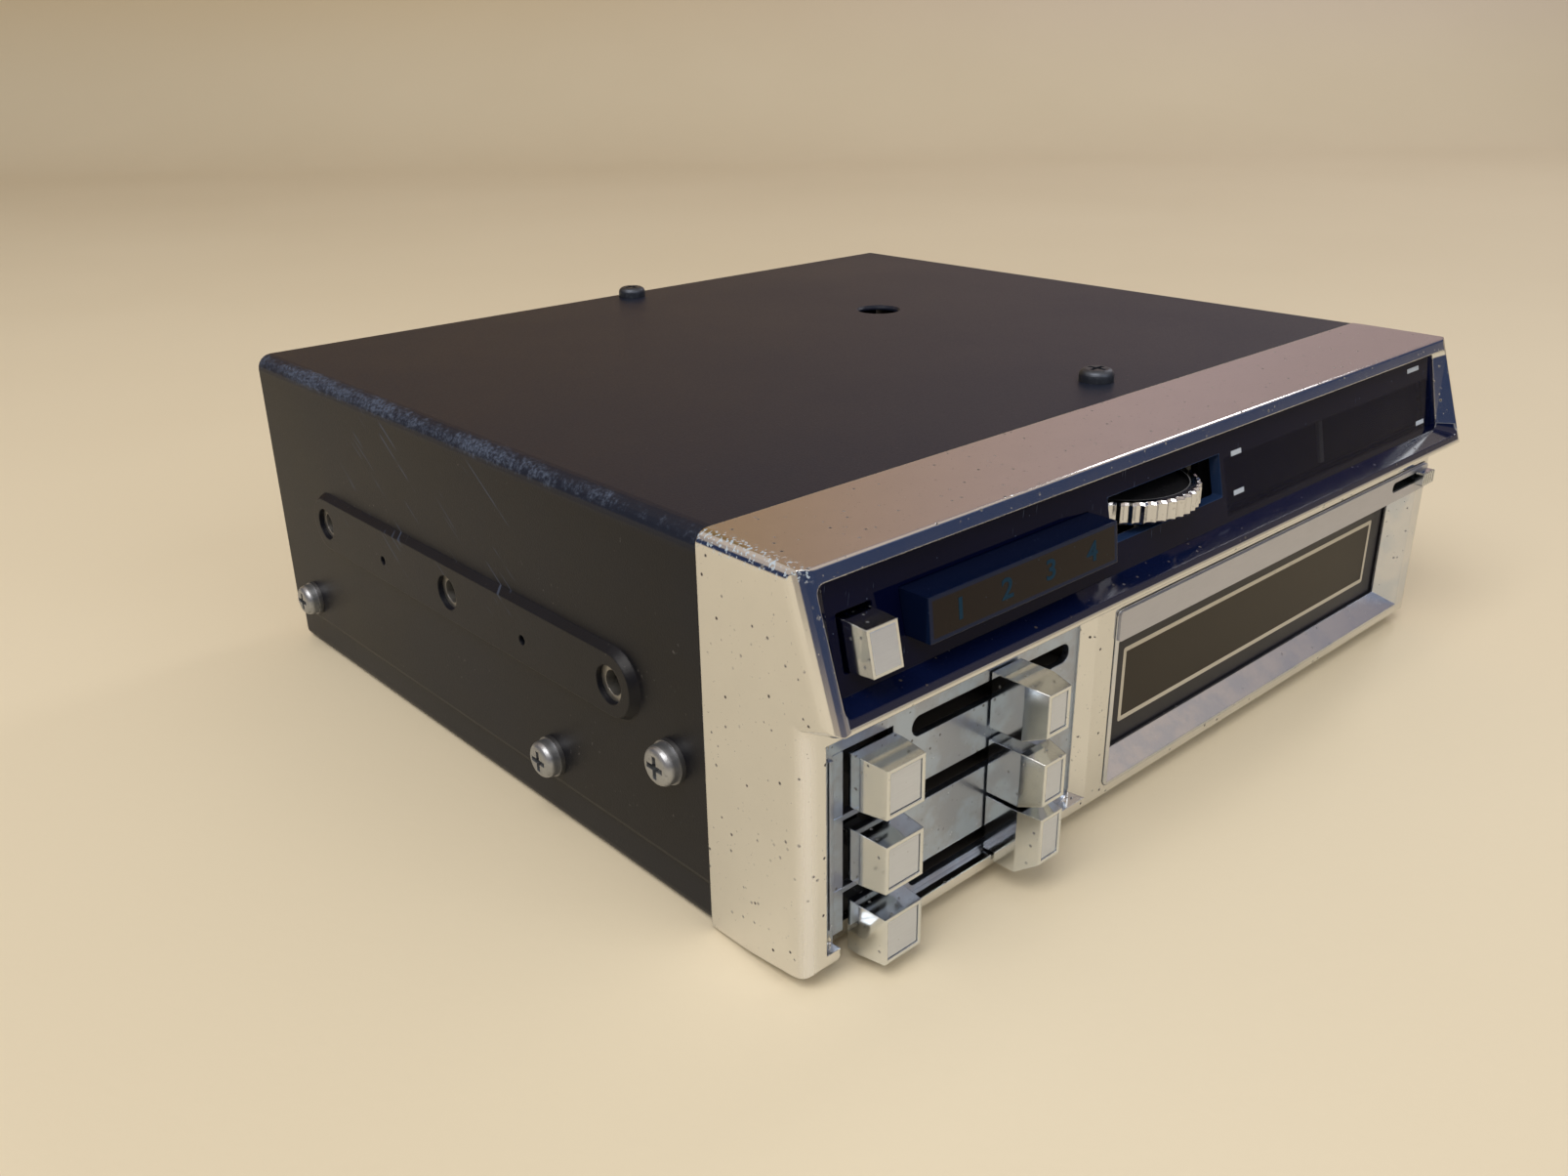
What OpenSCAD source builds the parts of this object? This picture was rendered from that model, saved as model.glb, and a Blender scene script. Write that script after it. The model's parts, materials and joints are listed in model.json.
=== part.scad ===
// Car 8 track cartridge player with an AM/FM tuner.
// Frame: X to the right as the driver sees it, Y towards the back, Z up.
// The origin is the centre of the underside of the steel case.
// Inside from_seam() Y counts from the seam between the case and the front moulding.

/* [Case] */
// Width of the steel case
case_w = 188; // [180:1:205]
// Depth of the steel case behind the front moulding
case_d = 148; // [144:1:170]
// Height of the case
case_h = 65.5; // [64:0.5:78]
// Thickness of the case sheet
sheet_t = 1; // [0.8:0.1:1.4]
// Radius of the cover's long folded edges
cover_r = 3; // [2:0.5:5]
// Height of the cover's lower edge above the underside
cover_low = 8.5; // [6:0.5:10]
// Height of the pan's upturned sides
pan_side_h = 18; // [15.5:0.5:22]

/* [Side pads] */
// Distance between two bracket holes
bracket_pitch = 50; // [46:1:52]
// Distance of the first bracket hole behind the seam
bracket_first = 21.3; // [18:0.5:24]
// Height of the bracket holes
bracket_z = 35; // [31:0.5:38]
// Diameter of the thread's bore in the bracket nuts
bracket_bore = 4.2; // [3.3:0.1:5]
// Diameter of the clearance hole in the pad
pad_hole_d = 6.5; // [5.5:0.1:7.5]
// Height of the embossed pad
pad_h = 12.6; // [10:0.2:15]
// How far the pad stands out of the side
pad_out = 1.5; // [0.8:0.1:2.2]
// Diameter of the small pin holes between the bracket holes
pin_hole_d = 1.8; // [1:0.1:3]
// Length of a bracket nut
nut_l = 5; // [3:0.5:7]

/* [Screws] */
// Diameter of the screw heads
head_d = 6.6; // [5.5:0.1:7.5]
// Height of the screw heads
head_h = 2.4; // [1.5:0.1:3]
// Diameter of the screw shanks
shank_d = 3.5; // [3:0.1:4]
// Length of the screw shanks
shank_l = 5; // [4:0.5:7]
// Thickness of a split washer
washer_t = 0.9; // [0.6:0.1:1.2]
// Height of the pan screws on the sides
pan_screw_z = 13.3; // [12.5:0.1:14]
// Diameter of the dimpled hole in the top
top_hole_d = 9.4; // [6:0.2:12]

/* [Front moulding] */
// Reach of the brow's lower lip in front of the seam
brow_reach = 27.2; // [25.5:0.1:29]
// Reach of the brow's top edge in front of the seam
brow_top_reach = 20.1; // [19:0.1:22]
// Reach of the lower front face in front of the seam
front_reach = 21.4; // [20.5:0.1:23]
// Rise of the bottom edge towards the front
toe_rise = 2.6; // [1.5:0.1:3]
// Wall of the moulding
wall = 2.2; // [1.8:0.1:2.4]
// Radius of the lower front corners seen from above
front_r = 3; // [2:0.5:4]
// Radius of the brow's front corners
brow_r = 3; // [2:0.5:4]
// Width of the flat lip round the dial
lip_w = 2.6; // [2:0.1:3]
// Height of the rim's top edge below the controls
rim_top = 5.4; // [5:0.1:5.8]

/* [Dial] */
// Reach of the dial window's lower edge in front of the seam
window_reach = 22.9; // [22:0.1:23.4]
// Lean of the dial window from upright, in degrees
window_lean = 12.5; // [10:0.5:14]
// Thickness of the dial window
window_t = 2; // [1.6:0.1:2.2]
// Radius of the thumbwheel
wheel_r = 14.3; // [13:0.1:14.6]
// Thickness of the thumbwheel
wheel_t = 3.7; // [3:0.1:4.4]
// Number of flutes round the thumbwheel
flutes = 46; // [30:1:60]
// Radius of the cord drum under the thumbwheel
drum_r = 4.5; // [3.8:0.1:4.8]
// Diameter of the tuning cord
cord_d = 0.8; // [0.5:0.1:1]
// Diameter of the pointer's rail
rail_d = 2; // [1.5:0.1:2.4]
// Width of the pointer blade
pointer_w = 1.4; // [0.8:0.1:2.5]
// Travel of the pointer each way from the middle of the dial
pointer_travel = 27.5; // [20:0.5:28]

/* [Program indicator] */
// Width of the indicator block
indicator_w = 42.6; // [40:0.2:44]
// Height of the indicator block
indicator_h = 6.6; // [6:0.1:7.2]
// Reach of the indicator block in front of the seam
indicator_reach = 25.8; // [25:0.1:27]
// Diameter of an indicator bulb
bulb_d = 4.2; // [3:0.1:4.4]

/* [Buttons] */
// Width of a push button at its root
button_w = 8.6; // [8:0.1:9.2]
// Width of a push button at its face
button_face_w = 7.6; // [7:0.1:8]
// Height of a push button at its root
button_h = 8.8; // [8:0.1:9.2]
// Height of a push button at its face
button_face_h = 7.8; // [7.2:0.1:8]
// Distance between two push buttons
button_pitch = 12.2; // [11.8:0.1:12.6]
// Reach of the buttons in front of the seam
button_reach = 26.4; // [25.5:0.1:28]
// Travel of the push buttons
button_travel = 2.4; // [1.5:0.1:2.4]
// Width of the program button
program_w = 5.6; // [5:0.1:6.2]
// Height of the program button at its face
program_h = 6.5; // [6:0.1:7]

/* [Sliders] */
// Height of a slider slot
slot_h = 3.4; // [3:0.1:4]
// Width of a slider knob at its root
knob_w = 6.9; // [6:0.1:7.5]
// Width of a slider knob at its face
knob_face_w = 5.2; // [4.5:0.1:5.8]
// Reach of the slider knobs in front of the seam
knob_reach = 29.7; // [28.5:0.1:31]
// Place of the resting knobs along their slots, as a share of the slot's length
knob_rest = 0.56; // [0.48:0.02:0.64]
// Height of a bar between two push buttons
bar_h = 0.9; // [0.6:0.1:1.4]

/* [Tape bay] */
// Width of a cartridge
cartridge_w = 101.6; // [100:0.1:102]
// Height of a cartridge
cartridge_h = 22.5; // [22:0.1:22.8]
// Depth to which a cartridge goes in behind the door
cartridge_in = 95; // [88:0.5:96]
// Side clearance of a cartridge in its guide
guide_play = 0.45; // [0.3:0.05:0.7]
// Height of the guide's floor above the underside
floor_z = 7.8; // [7.5:0.1:8]
// Height of the door opening
opening_h = 23.8; // [23.4:0.1:24.2]
// Thickness of the tape door
door_t = 1.8; // [1.4:0.1:2]
// Diameter of the hinge pin
hinge_d = 1.6; // [1.2:0.1:1.8]
// Thickness of the deck plate
deck_t = 1.5; // [1.2:0.1:2]

/* [Drive] */
// Diameter of the capstan shaft
capstan_d = 4.6; // [4:0.1:5]
// Radius of the flywheel
flywheel_r = 25.5; // [22:0.5:26]
// Thickness of the flywheel's rim
flywheel_t = 8; // [6:0.5:9]
// Radius of the motor pulley
pulley_r = 5; // [4:0.5:6]
// Radius of the drive motor
motor_r = 16; // [14:0.5:17]
// Width of the drive belt
belt_w = 4; // [3:0.5:5]
// Lift of the tape head over its four programs
head_lift = 2.4; // [2:0.1:2.4]

/* [Rear] */
// Inner radius of the aerial socket
aerial_r = 4.7; // [4:0.1:5.2]
// Inner radius of the lead grommet
grommet_r = 4; // [3:0.5:5]
// Number of fins on the heat sink
fins = 7; // [4:1:9]
// Depth of the heat sink's fins
fin_d = 6; // [4:0.5:9]

/* [Hidden] */
$fn = 48;

// Clearances
gap = 0.3;         // between a moving piece and what it passes
running = 0.05;    // radial clearance of a shaft in its bore
seat = 0.02;       // radial clearance of a pin fixed in its hole
eps = 0.01;        // overlap of a cut with the face it breaks through

// Main places
left = -case_w / 2;
right = case_w / 2;
opening_z = floor_z + 1.2;
opening_top = opening_z + opening_h;
bezel_top = opening_top + 6;
bay_x = right - 62.75;
opening_w = cartridge_w + 1.9;
bezel_x0 = bay_x - opening_w / 2 - 3.5;
lip_z = opening_top + 10.9;          // the brow's lip clears the tape bezel
brow_drop = 0.4;                     // the top falls this much towards the front
brow_top_z = case_h - brow_drop;
brow_lean = atan((brow_reach - brow_top_reach) / (brow_top_z - lip_z));
brow_len = norm([brow_reach - brow_top_reach, brow_top_z - lip_z]);
shelf_z = lip_z - 0.8;               // where the brow's underside meets the lower front
inner_w = case_w - 2 * sheet_t;      // between the cover's side walls
cavity_w = case_w - 5;               // between the moulding's side walls
plate_reach = front_reach - wall;    // front face of the control plate
shelf_top = lip_z + wall;            // floor of the hollow behind the dial
chassis_t = 1;
chassis_top = shelf_top + chassis_t + 0.1;

// Dial window: its front plane starts at window_z
window_z = lip_z + 1.7;
function window_y(z) = -window_reach + (z - window_z) * tan(window_lean);
function window_back(z) = window_y(z) + window_t / cos(window_lean);
recess_low = 1.3;                    // recess edges, measured up the window
recess_top = case_h - 3.4;
recess_high = (recess_top - window_z) / cos(window_lean);
recess_w = case_w - 10;

// Program button and indicator
dial_mid_z = (chassis_top + recess_top) / 2 - 0.05;
program_x = left + 10;
program_z = dial_mid_z - 0.12 * (dial_mid_z - chassis_top);
program_root_h = program_h + 0.7;
program_travel = 2;
indicator_x0 = left + 18.7;
indicator_x1 = indicator_x0 + indicator_w;
indicator_z0 = dial_mid_z - indicator_h / 2;
lamp_pitch = indicator_w / 4;

// Thumbwheel
wheel_x = indicator_x1 + 20.2;
wheel_y = -11;
wheel_top = dial_mid_z + 2.3;
wheel_low = wheel_top - wheel_t;
wheel_cut0 = indicator_x1 + 5.2;
wheel_cut1 = wheel_cut0 + 32.5;
wheel_shaft_r = 1.5;
drum_z = chassis_top + 1.4;
drum_h = wheel_low - drum_z - 0.7;
cord_z = drum_z + drum_h / 2;
cord_r = drum_r + gap + cord_d / 2;

// Dial scale and pointer
scale_x0 = wheel_x + wheel_r + 2.4;
scale_x1 = right - 5;
scale_top = case_h - 7.3;
idler_x = right - 10;
pointer_x = scale_x0 + 0.4811 * (scale_x1 - scale_x0);
rail_y = -12.9;
rail_z = case_h - 5.6;
carriage_w = 10;
blade_t = 0.6;
blade_low = lip_z + 4.6;

// Two dial lamps lie end to end between the wheel and the idler
lamp_x0 = scale_x0 + 9;
lamp_x1 = idler_x - 7.2;
lamp_hold = 0.185 * (lamp_x1 - lamp_x0);
lamp_x = [lamp_x0 + lamp_hold, lamp_x1 - lamp_hold];
lamp_y = -7.4;
lamp_z = (cord_z + case_h - 5) / 2;
lamp_l = lamp_hold - 0.8;

// Controls
button_x = left + 14.3;
button_z0 = 6.9;
crease_reach = front_reach + 0.2;
cap_back = plate_reach + 0.2;
slot_x0 = left + 23.1;
slot_l = bezel_x0 - 9.6 - slot_x0;
slot_z = [bezel_top - 4.8, (bezel_top + rim_top) / 2 + 0.4, rim_top + 2.6];  // balance, tone, volume
knob_x = slot_x0 + knob_rest * slot_l;
stem_w = 3;
pot_h = 6.4;
plate_t = 1.2;
plate_back = -plate_reach + plate_t;
control_x0 = left + 6;
control_x1 = slot_x0 + slot_l + 2.3;
control_top = bezel_top + 0.4;
recess_draft = 2.2;                  // the recess round the controls widens by this at each side
tall_x0 = button_x - button_w / 2 - 2.9;
tall_x1 = button_x + button_w / 2 + 0.6;
tall_top = button_z0 + 2 * button_pitch + button_h / 2 + 0.4;

// Tape bay
bezel_x1 = right - 3.4;
bezel_front = front_reach + 0.2;
bezel_back = 17.3;
bezel_draft = 3.5;
door_reach = bezel_back - gap;
door_y1 = -door_reach + door_t;
door_lap = 0.8;
door_z0 = opening_z - door_lap;
door_z1 = opening_top + 0.3;
hinge_y = -15.3;
hinge_z = opening_top + 1.1;
lug_r = 1.5;
lug_w = 3;
door_x0 = bay_x - opening_w / 2 - door_lap;
door_x1 = bay_x + opening_w / 2 + door_lap;
hinge_play = 0.4;                    // side play of the door between its lugs
bezel_lug_w = 1.8;
spring_notch = 6;
guide_w = cartridge_w + 2 * guide_play;
guide_front = 12.5;
guide_back = cartridge_in - bezel_back + 2.3;
deck_z = opening_top + 4.2;
deck_top = deck_z + deck_t;
deck_back = case_d - 8;
wing_y = case_d - 55.8;               // front of the deck's left wing
nut_x1 = case_w / 2 + pad_out - sheet_t;
deck_x1 = nut_x1 - nut_l - 0.7;      // the deck stays clear of the bracket nuts

// Slide switch at the right end of the trim strip
local_z = opening_top + 3.6;
local_x = right - 7.4;
local_travel = 10;
local_w = 5.2;
local_h = 2.8;

// Drive
capstan_x = bay_x + 33.75;
capstan_y = guide_back + 2.2;
flywheel_z = deck_top + 6.5;
motor_x = left + 42;
motor_y = case_d - 29.8;
pulley_z = flywheel_z - 1;
belt_z = flywheel_z + (flywheel_t - belt_w) / 2;
belt_t = 0.8;
bearing_r = 6;

// Head and program cam
head_x = bay_x - 6;
head_y = guide_back - 0.5;
post_x = head_x + 12;
post_y = guide_back + 14.2;
post_r = 1.5;
cam_r = 9;
cam_z = 3;
cam_h = 6;
cam_step = head_lift / 3;
follower_at = 6;
sleeve_z = cam_z + cam_h + gap;
arm_z = sleeve_z + head_lift + 0.2;
plunger_travel = 4;

// Boards
board_t = 1.6;
amp_z = 10;
tuner_z = deck_top + 5.5;
standoff_r = 2.5;

// ---- Helpers ----

module from_seam() translate([0, -case_d / 2, 0]) children();

// Extrusions of a flat outline: bar_x takes (y, z), bar_y takes (x, z), bar_z takes (x, y)
module bar_x(x0, x1) translate([x0, 0, 0]) rotate([90, 0, 90]) linear_extrude(x1 - x0) children();
module bar_y(y0, y1) translate([0, y1, 0]) rotate([90, 0, 0]) linear_extrude(y1 - y0) children();
module bar_z(z0, z1) translate([0, 0, z0]) linear_extrude(z1 - z0) children();

module block(x, y, z) translate([x[0], y[0], z[0]]) cube([x[1] - x[0], y[1] - y[0], z[1] - z[0]]);

module rod_x(x0, x1, y, z, r) translate([x0, y, z]) rotate([0, 90, 0]) cylinder(r = r, h = x1 - x0);
module rod_y(y0, y1, x, z, r) translate([x, y1, z]) rotate([90, 0, 0]) cylinder(r = r, h = y1 - y0);
module rod_z(z0, z1, x, y, r) translate([x, y, z0]) cylinder(r = r, h = z1 - z0);

// Both sides of the unit
module both_sides() {
    children();
    mirror([1, 0, 0]) children();
}

// An arc of radius r that rounds the corner b between a and c
function unit(v) = v / norm(v);
function turn(a, b) = a - b > 180 ? a - b - 360 : (a - b < -180 ? a - b + 360 : a - b);
function corner(a, b, c, r, n = 6) = r == 0 ? [b] :
    let(u = unit(a - b), v = unit(c - b), half = acos(u * v) / 2)
    let(m = b + unit(u + v) * r / sin(half), p = b + u * r / tan(half), q = b + v * r / tan(half))
    let(a0 = atan2(p.y - m.y, p.x - m.x), sweep = turn(atan2(q.y - m.y, q.x - m.x), a0))
    [for (i = [0:n]) m + r * [cos(a0 + sweep * i / n), sin(a0 + sweep * i / n)]];

// A polygon whose corners are rounded by the radii in r
function rounded(pts, r) = let(n = len(pts))
    [for (i = [0:n - 1]) each corner(pts[(i + n - 1) % n], pts[i], pts[(i + 1) % n], r[i])];

// A rectangle with the same radius at its four corners
module panel(x0, x1, y0, y1, r) {
    polygon(rounded([[x0, y0], [x1, y0], [x1, y1], [x0, y1]], [r, r, r, r]));
}

// A slot with round ends
module stadium(x0, x1, y, h) {
    translate([x0 + h / 2, y - h / 2]) square([x1 - x0 - h, h]);
    translate([x0 + h / 2, y]) circle(d = h);
    translate([x1 - h / 2, y]) circle(d = h);
}

// A frame whose Z axis runs up the dial window and whose Y axis points into the unit
module on_window() {
    translate([0, -window_reach, window_z]) rotate([-window_lean, 0, 0]) children();
}

// ---- Case ----

function pad_y(i) = bracket_first + i * bracket_pitch;
pad_y0 = pad_y(0);
pad_y1 = pad_y(2);
screw_places = [[8.1, 26.6], [42, pan_screw_z], [case_d - 11, pan_screw_z]];
top_places = [[10.4, 9.8], [1, case_d - 4]];
top_hole = [31.3, 86.7];

// The embossed pad grown or shrunk by e, standing h high, with drafted edges
module pad_form(e, h) {
    r0 = pad_h / 2 + e;
    r1 = r0 - h * 0.6;
    for (y = [pad_y0, pad_y1]) translate([0, y, bracket_z]) rotate([0, 90, 0]) {
        cylinder(r1 = r0, r2 = r1, h = h);
    }
    translate([0, pad_y1, bracket_z]) rotate([90, 0, 0]) linear_extrude(pad_y1 - pad_y0) {
        polygon([[0, -r0], [h, -r1], [h, r1], [0, r0]]);
    }
}

module cover_section(w, top, low, r) {
    polygon(rounded([[-w / 2, low], [w / 2, low], [w / 2, top], [-w / 2, top]], [0, 0, r, r]));
}

module top_cover() color([0.16, 0.15, 0.16]) from_seam() difference() {
    union() {
        bar_y(0, case_d) cover_section(case_w, case_h, cover_low, cover_r);
        both_sides() translate([case_w / 2, 0, 0]) pad_form(0, pad_out);
    }
    bar_y(-eps, case_d + eps) {
        cover_section(inner_w, case_h - sheet_t, cover_low - 1, cover_r - sheet_t);
    }
    both_sides() translate([case_w / 2 - sheet_t - eps, 0, 0]) pad_form(-sheet_t * 0.6, pad_out + eps);
    both_sides() {
        for (i = [0:2]) rod_x(case_w / 2 - 3, case_w / 2 + 3, pad_y(i), bracket_z, pad_hole_d / 2);
        for (i = [0:1]) {
            rod_x(case_w / 2 - 3, case_w / 2 + 3, pad_y(i) + bracket_pitch / 2, bracket_z - 0.9,
                pin_hole_d / 2);
        }
        for (p = screw_places) rod_x(case_w / 2 - 3, case_w / 2 + 3, p[0], p[1], shank_d / 2 + 0.1);
    }
    for (p = top_places) rod_z(case_h - 3, case_h + 1, p[0], p[1], shank_d / 2 + 0.1);
    translate([top_hole[0], top_hole[1], case_h]) rotate_extrude() {
        polygon([[0, -3], [top_hole_d / 2, -3], [top_hole_d / 2, -sheet_t / 2],
            [top_hole_d / 2 + sheet_t / 2, 0], [top_hole_d / 2 + sheet_t / 2, 1], [0, 1]]);
    }
}

module bottom_pan() color([0.13, 0.13, 0.14]) from_seam() difference() {
    bar_y(0, case_d) difference() {
        polygon(rounded([[-inner_w / 2, 0], [inner_w / 2, 0], [inner_w / 2, pan_side_h],
            [-inner_w / 2, pan_side_h]], [2, 2, 0, 0]));
        polygon(rounded([[-inner_w / 2 + sheet_t, sheet_t], [inner_w / 2 - sheet_t, sheet_t],
            [inner_w / 2 - sheet_t, pan_side_h + 1], [-inner_w / 2 + sheet_t, pan_side_h + 1]],
            [1, 1, 0, 0]));
    }
    both_sides() for (i = [1:2]) {
        rod_x(case_w / 2 - 4, case_w / 2, screw_places[i][0], screw_places[i][1], shank_d / 2 + 0.1);
    }
}

rear_in = 1;                         // the rear panel stands this far inside the case's edge
rear_y = case_d - rear_in - sheet_t;
aerial_x = right - 24;
aerial_z = 46;
grommet_x = left + 78;
grommet_z = 46;
sink_x0 = left + 12;
sink_w = 52;
sink_z0 = 20;
sink_h = 34;

module rear_panel() color([0.42, 0.42, 0.40]) from_seam() difference() {
    union() {
        bar_y(rear_y, rear_y + sheet_t) {
            polygon(rounded([[-inner_w / 2 + sheet_t, sheet_t], [inner_w / 2 - sheet_t, sheet_t],
                [inner_w / 2 - sheet_t, case_h - sheet_t], [-inner_w / 2 + sheet_t, case_h - sheet_t]],
                [1, 1, 2, 2]));
        }
        block([left + 10, right - 10], [rear_y - 9, rear_y], [case_h - 2 * sheet_t, case_h - sheet_t]);
        block([left + 10, right - 10], [rear_y - 6, rear_y], [sheet_t, 2 * sheet_t]);
    }
    rod_y(rear_y - 1, rear_y + 2, aerial_x, aerial_z, aerial_r + 1.3);
    rod_y(rear_y - 1, rear_y + 2, grommet_x, grommet_z, grommet_r + 2);
    for (i = [0:5]) {
        block([bay_x - 22 + i * 8, bay_x - 19 + i * 8], [rear_y - 1, rear_y + 2], [14, 34]);
    }
    rod_z(case_h - 4, case_h, top_places[1][0], top_places[1][1], shank_d / 2 + 0.1);
}

// ---- Front moulding ----

// Side outline of the lower front, drawn as (y, z)
module lower_side() {
    polygon(rounded([[0, 0], [-front_reach, toe_rise], [-front_reach, lip_z + 1], [0, lip_z + 1]],
        [0, 2, 0, 0]));
}

module brow_side() {
    polygon(rounded([[0, shelf_z - 4], [-front_reach + 1, shelf_z - 4], [-front_reach + 1, shelf_z - 0.1],
        [-brow_reach, lip_z], [-brow_top_reach, brow_top_z], [0, case_h]], [0, 0, 0, 0.6, 0.6, 0]));
}

// The drafted recess from the brow's face down to the window
module dial_recess() hull() {
    translate([0, -brow_reach, lip_z]) rotate([-brow_lean, 0, 0]) bar_y(-0.02, 0.02) {
        panel(left + lip_w, right - lip_w, lip_w - 0.4, brow_len - lip_w + 0.3, 1.4);
    }
    on_window() bar_y(0, 0.02) panel(-recess_w / 2, recess_w / 2, recess_low, recess_high, 1);
}

module moulding_outline(y0, y1) bar_y(y0, y1) {
    polygon(rounded([[left, 0], [right, 0], [right, case_h], [left, case_h]], [1.5, 1.5, 2.2, 2.2]));
}

module moulding_body() {
    intersection() {
        bar_x(left, right) lower_side();
        bar_z(-1, case_h) {
            polygon(rounded([[left, 0], [left, -front_reach], [right, -front_reach], [right, 0]],
                [0, front_r, front_r, 0]));
        }
        moulding_outline(-front_reach - 1, 0);
    }
    intersection() {
        bar_x(left, right) brow_side();
        translate([0, -brow_reach, lip_z]) rotate([-brow_lean, 0, 0]) bar_z(-20, 60) {
            polygon(rounded([[left, 60], [left, 0], [right, 0], [right, 60]], [0, brow_r, brow_r, 0]));
        }
        translate([0, -brow_reach, lip_z]) rotate([-brow_lean, 0, 0]) bar_y(-1, 60) {
            polygon(rounded([[left, 60], [left, 0], [right, 0], [right, 60]], [0, brow_r, brow_r, 0]));
        }
        moulding_outline(-brow_reach - 1, 0);
    }
}

module moulding_hollow() {
    z1 = recess_high * cos(window_lean) + window_z - 0.2;
    bar_x(-cavity_w / 2, cavity_w / 2) {
        polygon([[1, wall], [-plate_reach, toe_rise + wall], [-plate_reach, shelf_top],
            [window_back(shelf_top), shelf_top], [window_back(z1), z1], [1, case_h - 2.5]]);
    }
    on_window() block([-recess_w / 2 - 1, recess_w / 2 + 1], [0, window_t + 0.05],
        [recess_low - 0.7, recess_high + 0.7]);
}

module front_moulding() color([0.75, 0.72, 0.66]) from_seam() {
    difference() {
        moulding_body();
        moulding_hollow();
        dial_recess();
        bar_y(-front_reach - 1, -plate_reach + 1) {
            panel(control_x0, control_x1, rim_top, control_top, 2);
            panel(bezel_x0 - 0.15, bezel_x1 + 0.15, rim_top - 0.15, bezel_top + 0.15, 1.5);
        }
        block([tall_x0 - 0.6, tall_x1 + 0.2], [-front_reach - 1, -plate_reach + button_travel + 0.6],
            [-1, rim_top + 3]);
        bar_z(rim_top, control_top + 0.4) polygon([[control_x0 - recess_draft, -front_reach - 1],
            [control_x0 - recess_draft, -front_reach], [control_x0, -plate_reach - 0.3],
            [control_x1, -plate_reach - 0.3], [control_x1 + recess_draft, -front_reach],
            [control_x1 + recess_draft, -front_reach - 1]]);
    }
    both_sides() difference() {
        block([inner_w / 2 - wall, inner_w / 2], [-4, 13], [21, 33]);
        rod_x(inner_w / 2 - wall - 1, inner_w / 2 + 1, screw_places[0][0], screw_places[0][1],
            shank_d / 2 + 0.1);
    }
    difference() {
        block([top_places[0][0] - 6.5, top_places[0][0] + 6.5], [-4, 15],
            [case_h - sheet_t - 2, case_h - sheet_t]);
        rod_z(case_h - 5, case_h, top_places[0][0], top_places[0][1], shank_d / 2 + 0.1);
    }
}

// ---- Control plate, buttons and sliders ----

module control_plate() color([0.70, 0.68, 0.64]) from_seam() {
    bar_y(-plate_reach, plate_back) difference() {
        panel(control_x0 - 2, control_x1 + 1.2, rim_top - 0.5, control_top + 1.8, 1);
        for (z = slot_z) stadium(slot_x0, slot_x0 + slot_l, z, slot_h);
        translate([tall_x0, 0]) square([tall_x1 - tall_x0, tall_top]);
    }
    bar_y(-plate_reach, plate_back) for (i = [0.5, 1.5]) {
        translate([tall_x0 - 0.2, button_z0 + i * button_pitch - bar_h / 2]) {
            square([tall_x1 - tall_x0 + 0.4, bar_h]);
        }
    }
    block([tall_x0 - 1, tall_x0 - 0.3], [-plate_reach - 0.5, -plate_reach + 0.2],
        [rim_top + 2.2, tall_top - 0.5]);
}

// A push button whose cap tapers from its crease to its face; root and face are [width, height]
module push_cap(x, z, root, face, reach, crease, back, drop) {
    difference() {
        intersection() {
            bar_x(x - root[0], x + root[0]) {
                polygon([[-back, z - root[1] / 2], [-back, z + root[1] / 2 - 0.2],
                    [-crease, z + root[1] / 2 - 0.2], [-reach + drop, z + face[1] / 2],
                    [-reach, z - face[1] / 2], [-crease, z - root[1] / 2]]);
            }
            bar_z(z - root[1], z + root[1]) {
                polygon([[x - root[0] / 2, -back], [x - root[0] / 2, -crease], [x - face[0] / 2, -reach],
                    [x + face[0] / 2, -reach], [x + root[0] / 2, -crease], [x + root[0] / 2, -back]]);
            }
        }
        if (drop == 0) {
            block([x - face[0] / 2 + 0.6, x + face[0] / 2 - 0.6], [-reach - 1, -reach + 0.5],
                [z - face[1] / 2 + 0.6, z + face[1] / 2 - 0.6]);
        }
    }
}

module front_button(i) color([0.74, 0.73, 0.71]) from_seam() {
    z = button_z0 + i * button_pitch;
    push_cap(button_x, z, [button_w, button_h], [button_face_w, button_face_h], button_reach,
        crease_reach, cap_back, 0);
    block([button_x - 1.6, button_x + 1.6], [-cap_back, 2], [z - 1.5, z + 1.5]);
}

module stereo_button() front_button(2);
module fast_forward_button() front_button(1);
module tuner_button() front_button(0);

bank_y0 = plate_back + 3;
bank_x0 = tall_x0 - 1.7;
bank_x1 = tall_x1 + 1.4;

module button_bank() color([0.20, 0.20, 0.22]) from_seam() difference() {
    union() {
        block([bank_x0, bank_x1], [bank_y0, 9], [button_z0 - 2.2, tall_top + 1]);
        for (x = [[bank_x0, tall_x0 - 0.4], [tall_x1 + 0.4, bank_x1]]) {
            block(x, [plate_back, bank_y0], [button_z0 - 1, tall_top + 1]);
        }
    }
    for (i = [0:2]) {
        z = button_z0 + i * button_pitch;
        block([button_x - 1.6 - gap, button_x + 1.6 + gap], [bank_y0 - 1, 2 + button_travel + gap],
            [z - 1.5 - gap, z + 1.5 + gap]);
    }
}

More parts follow.
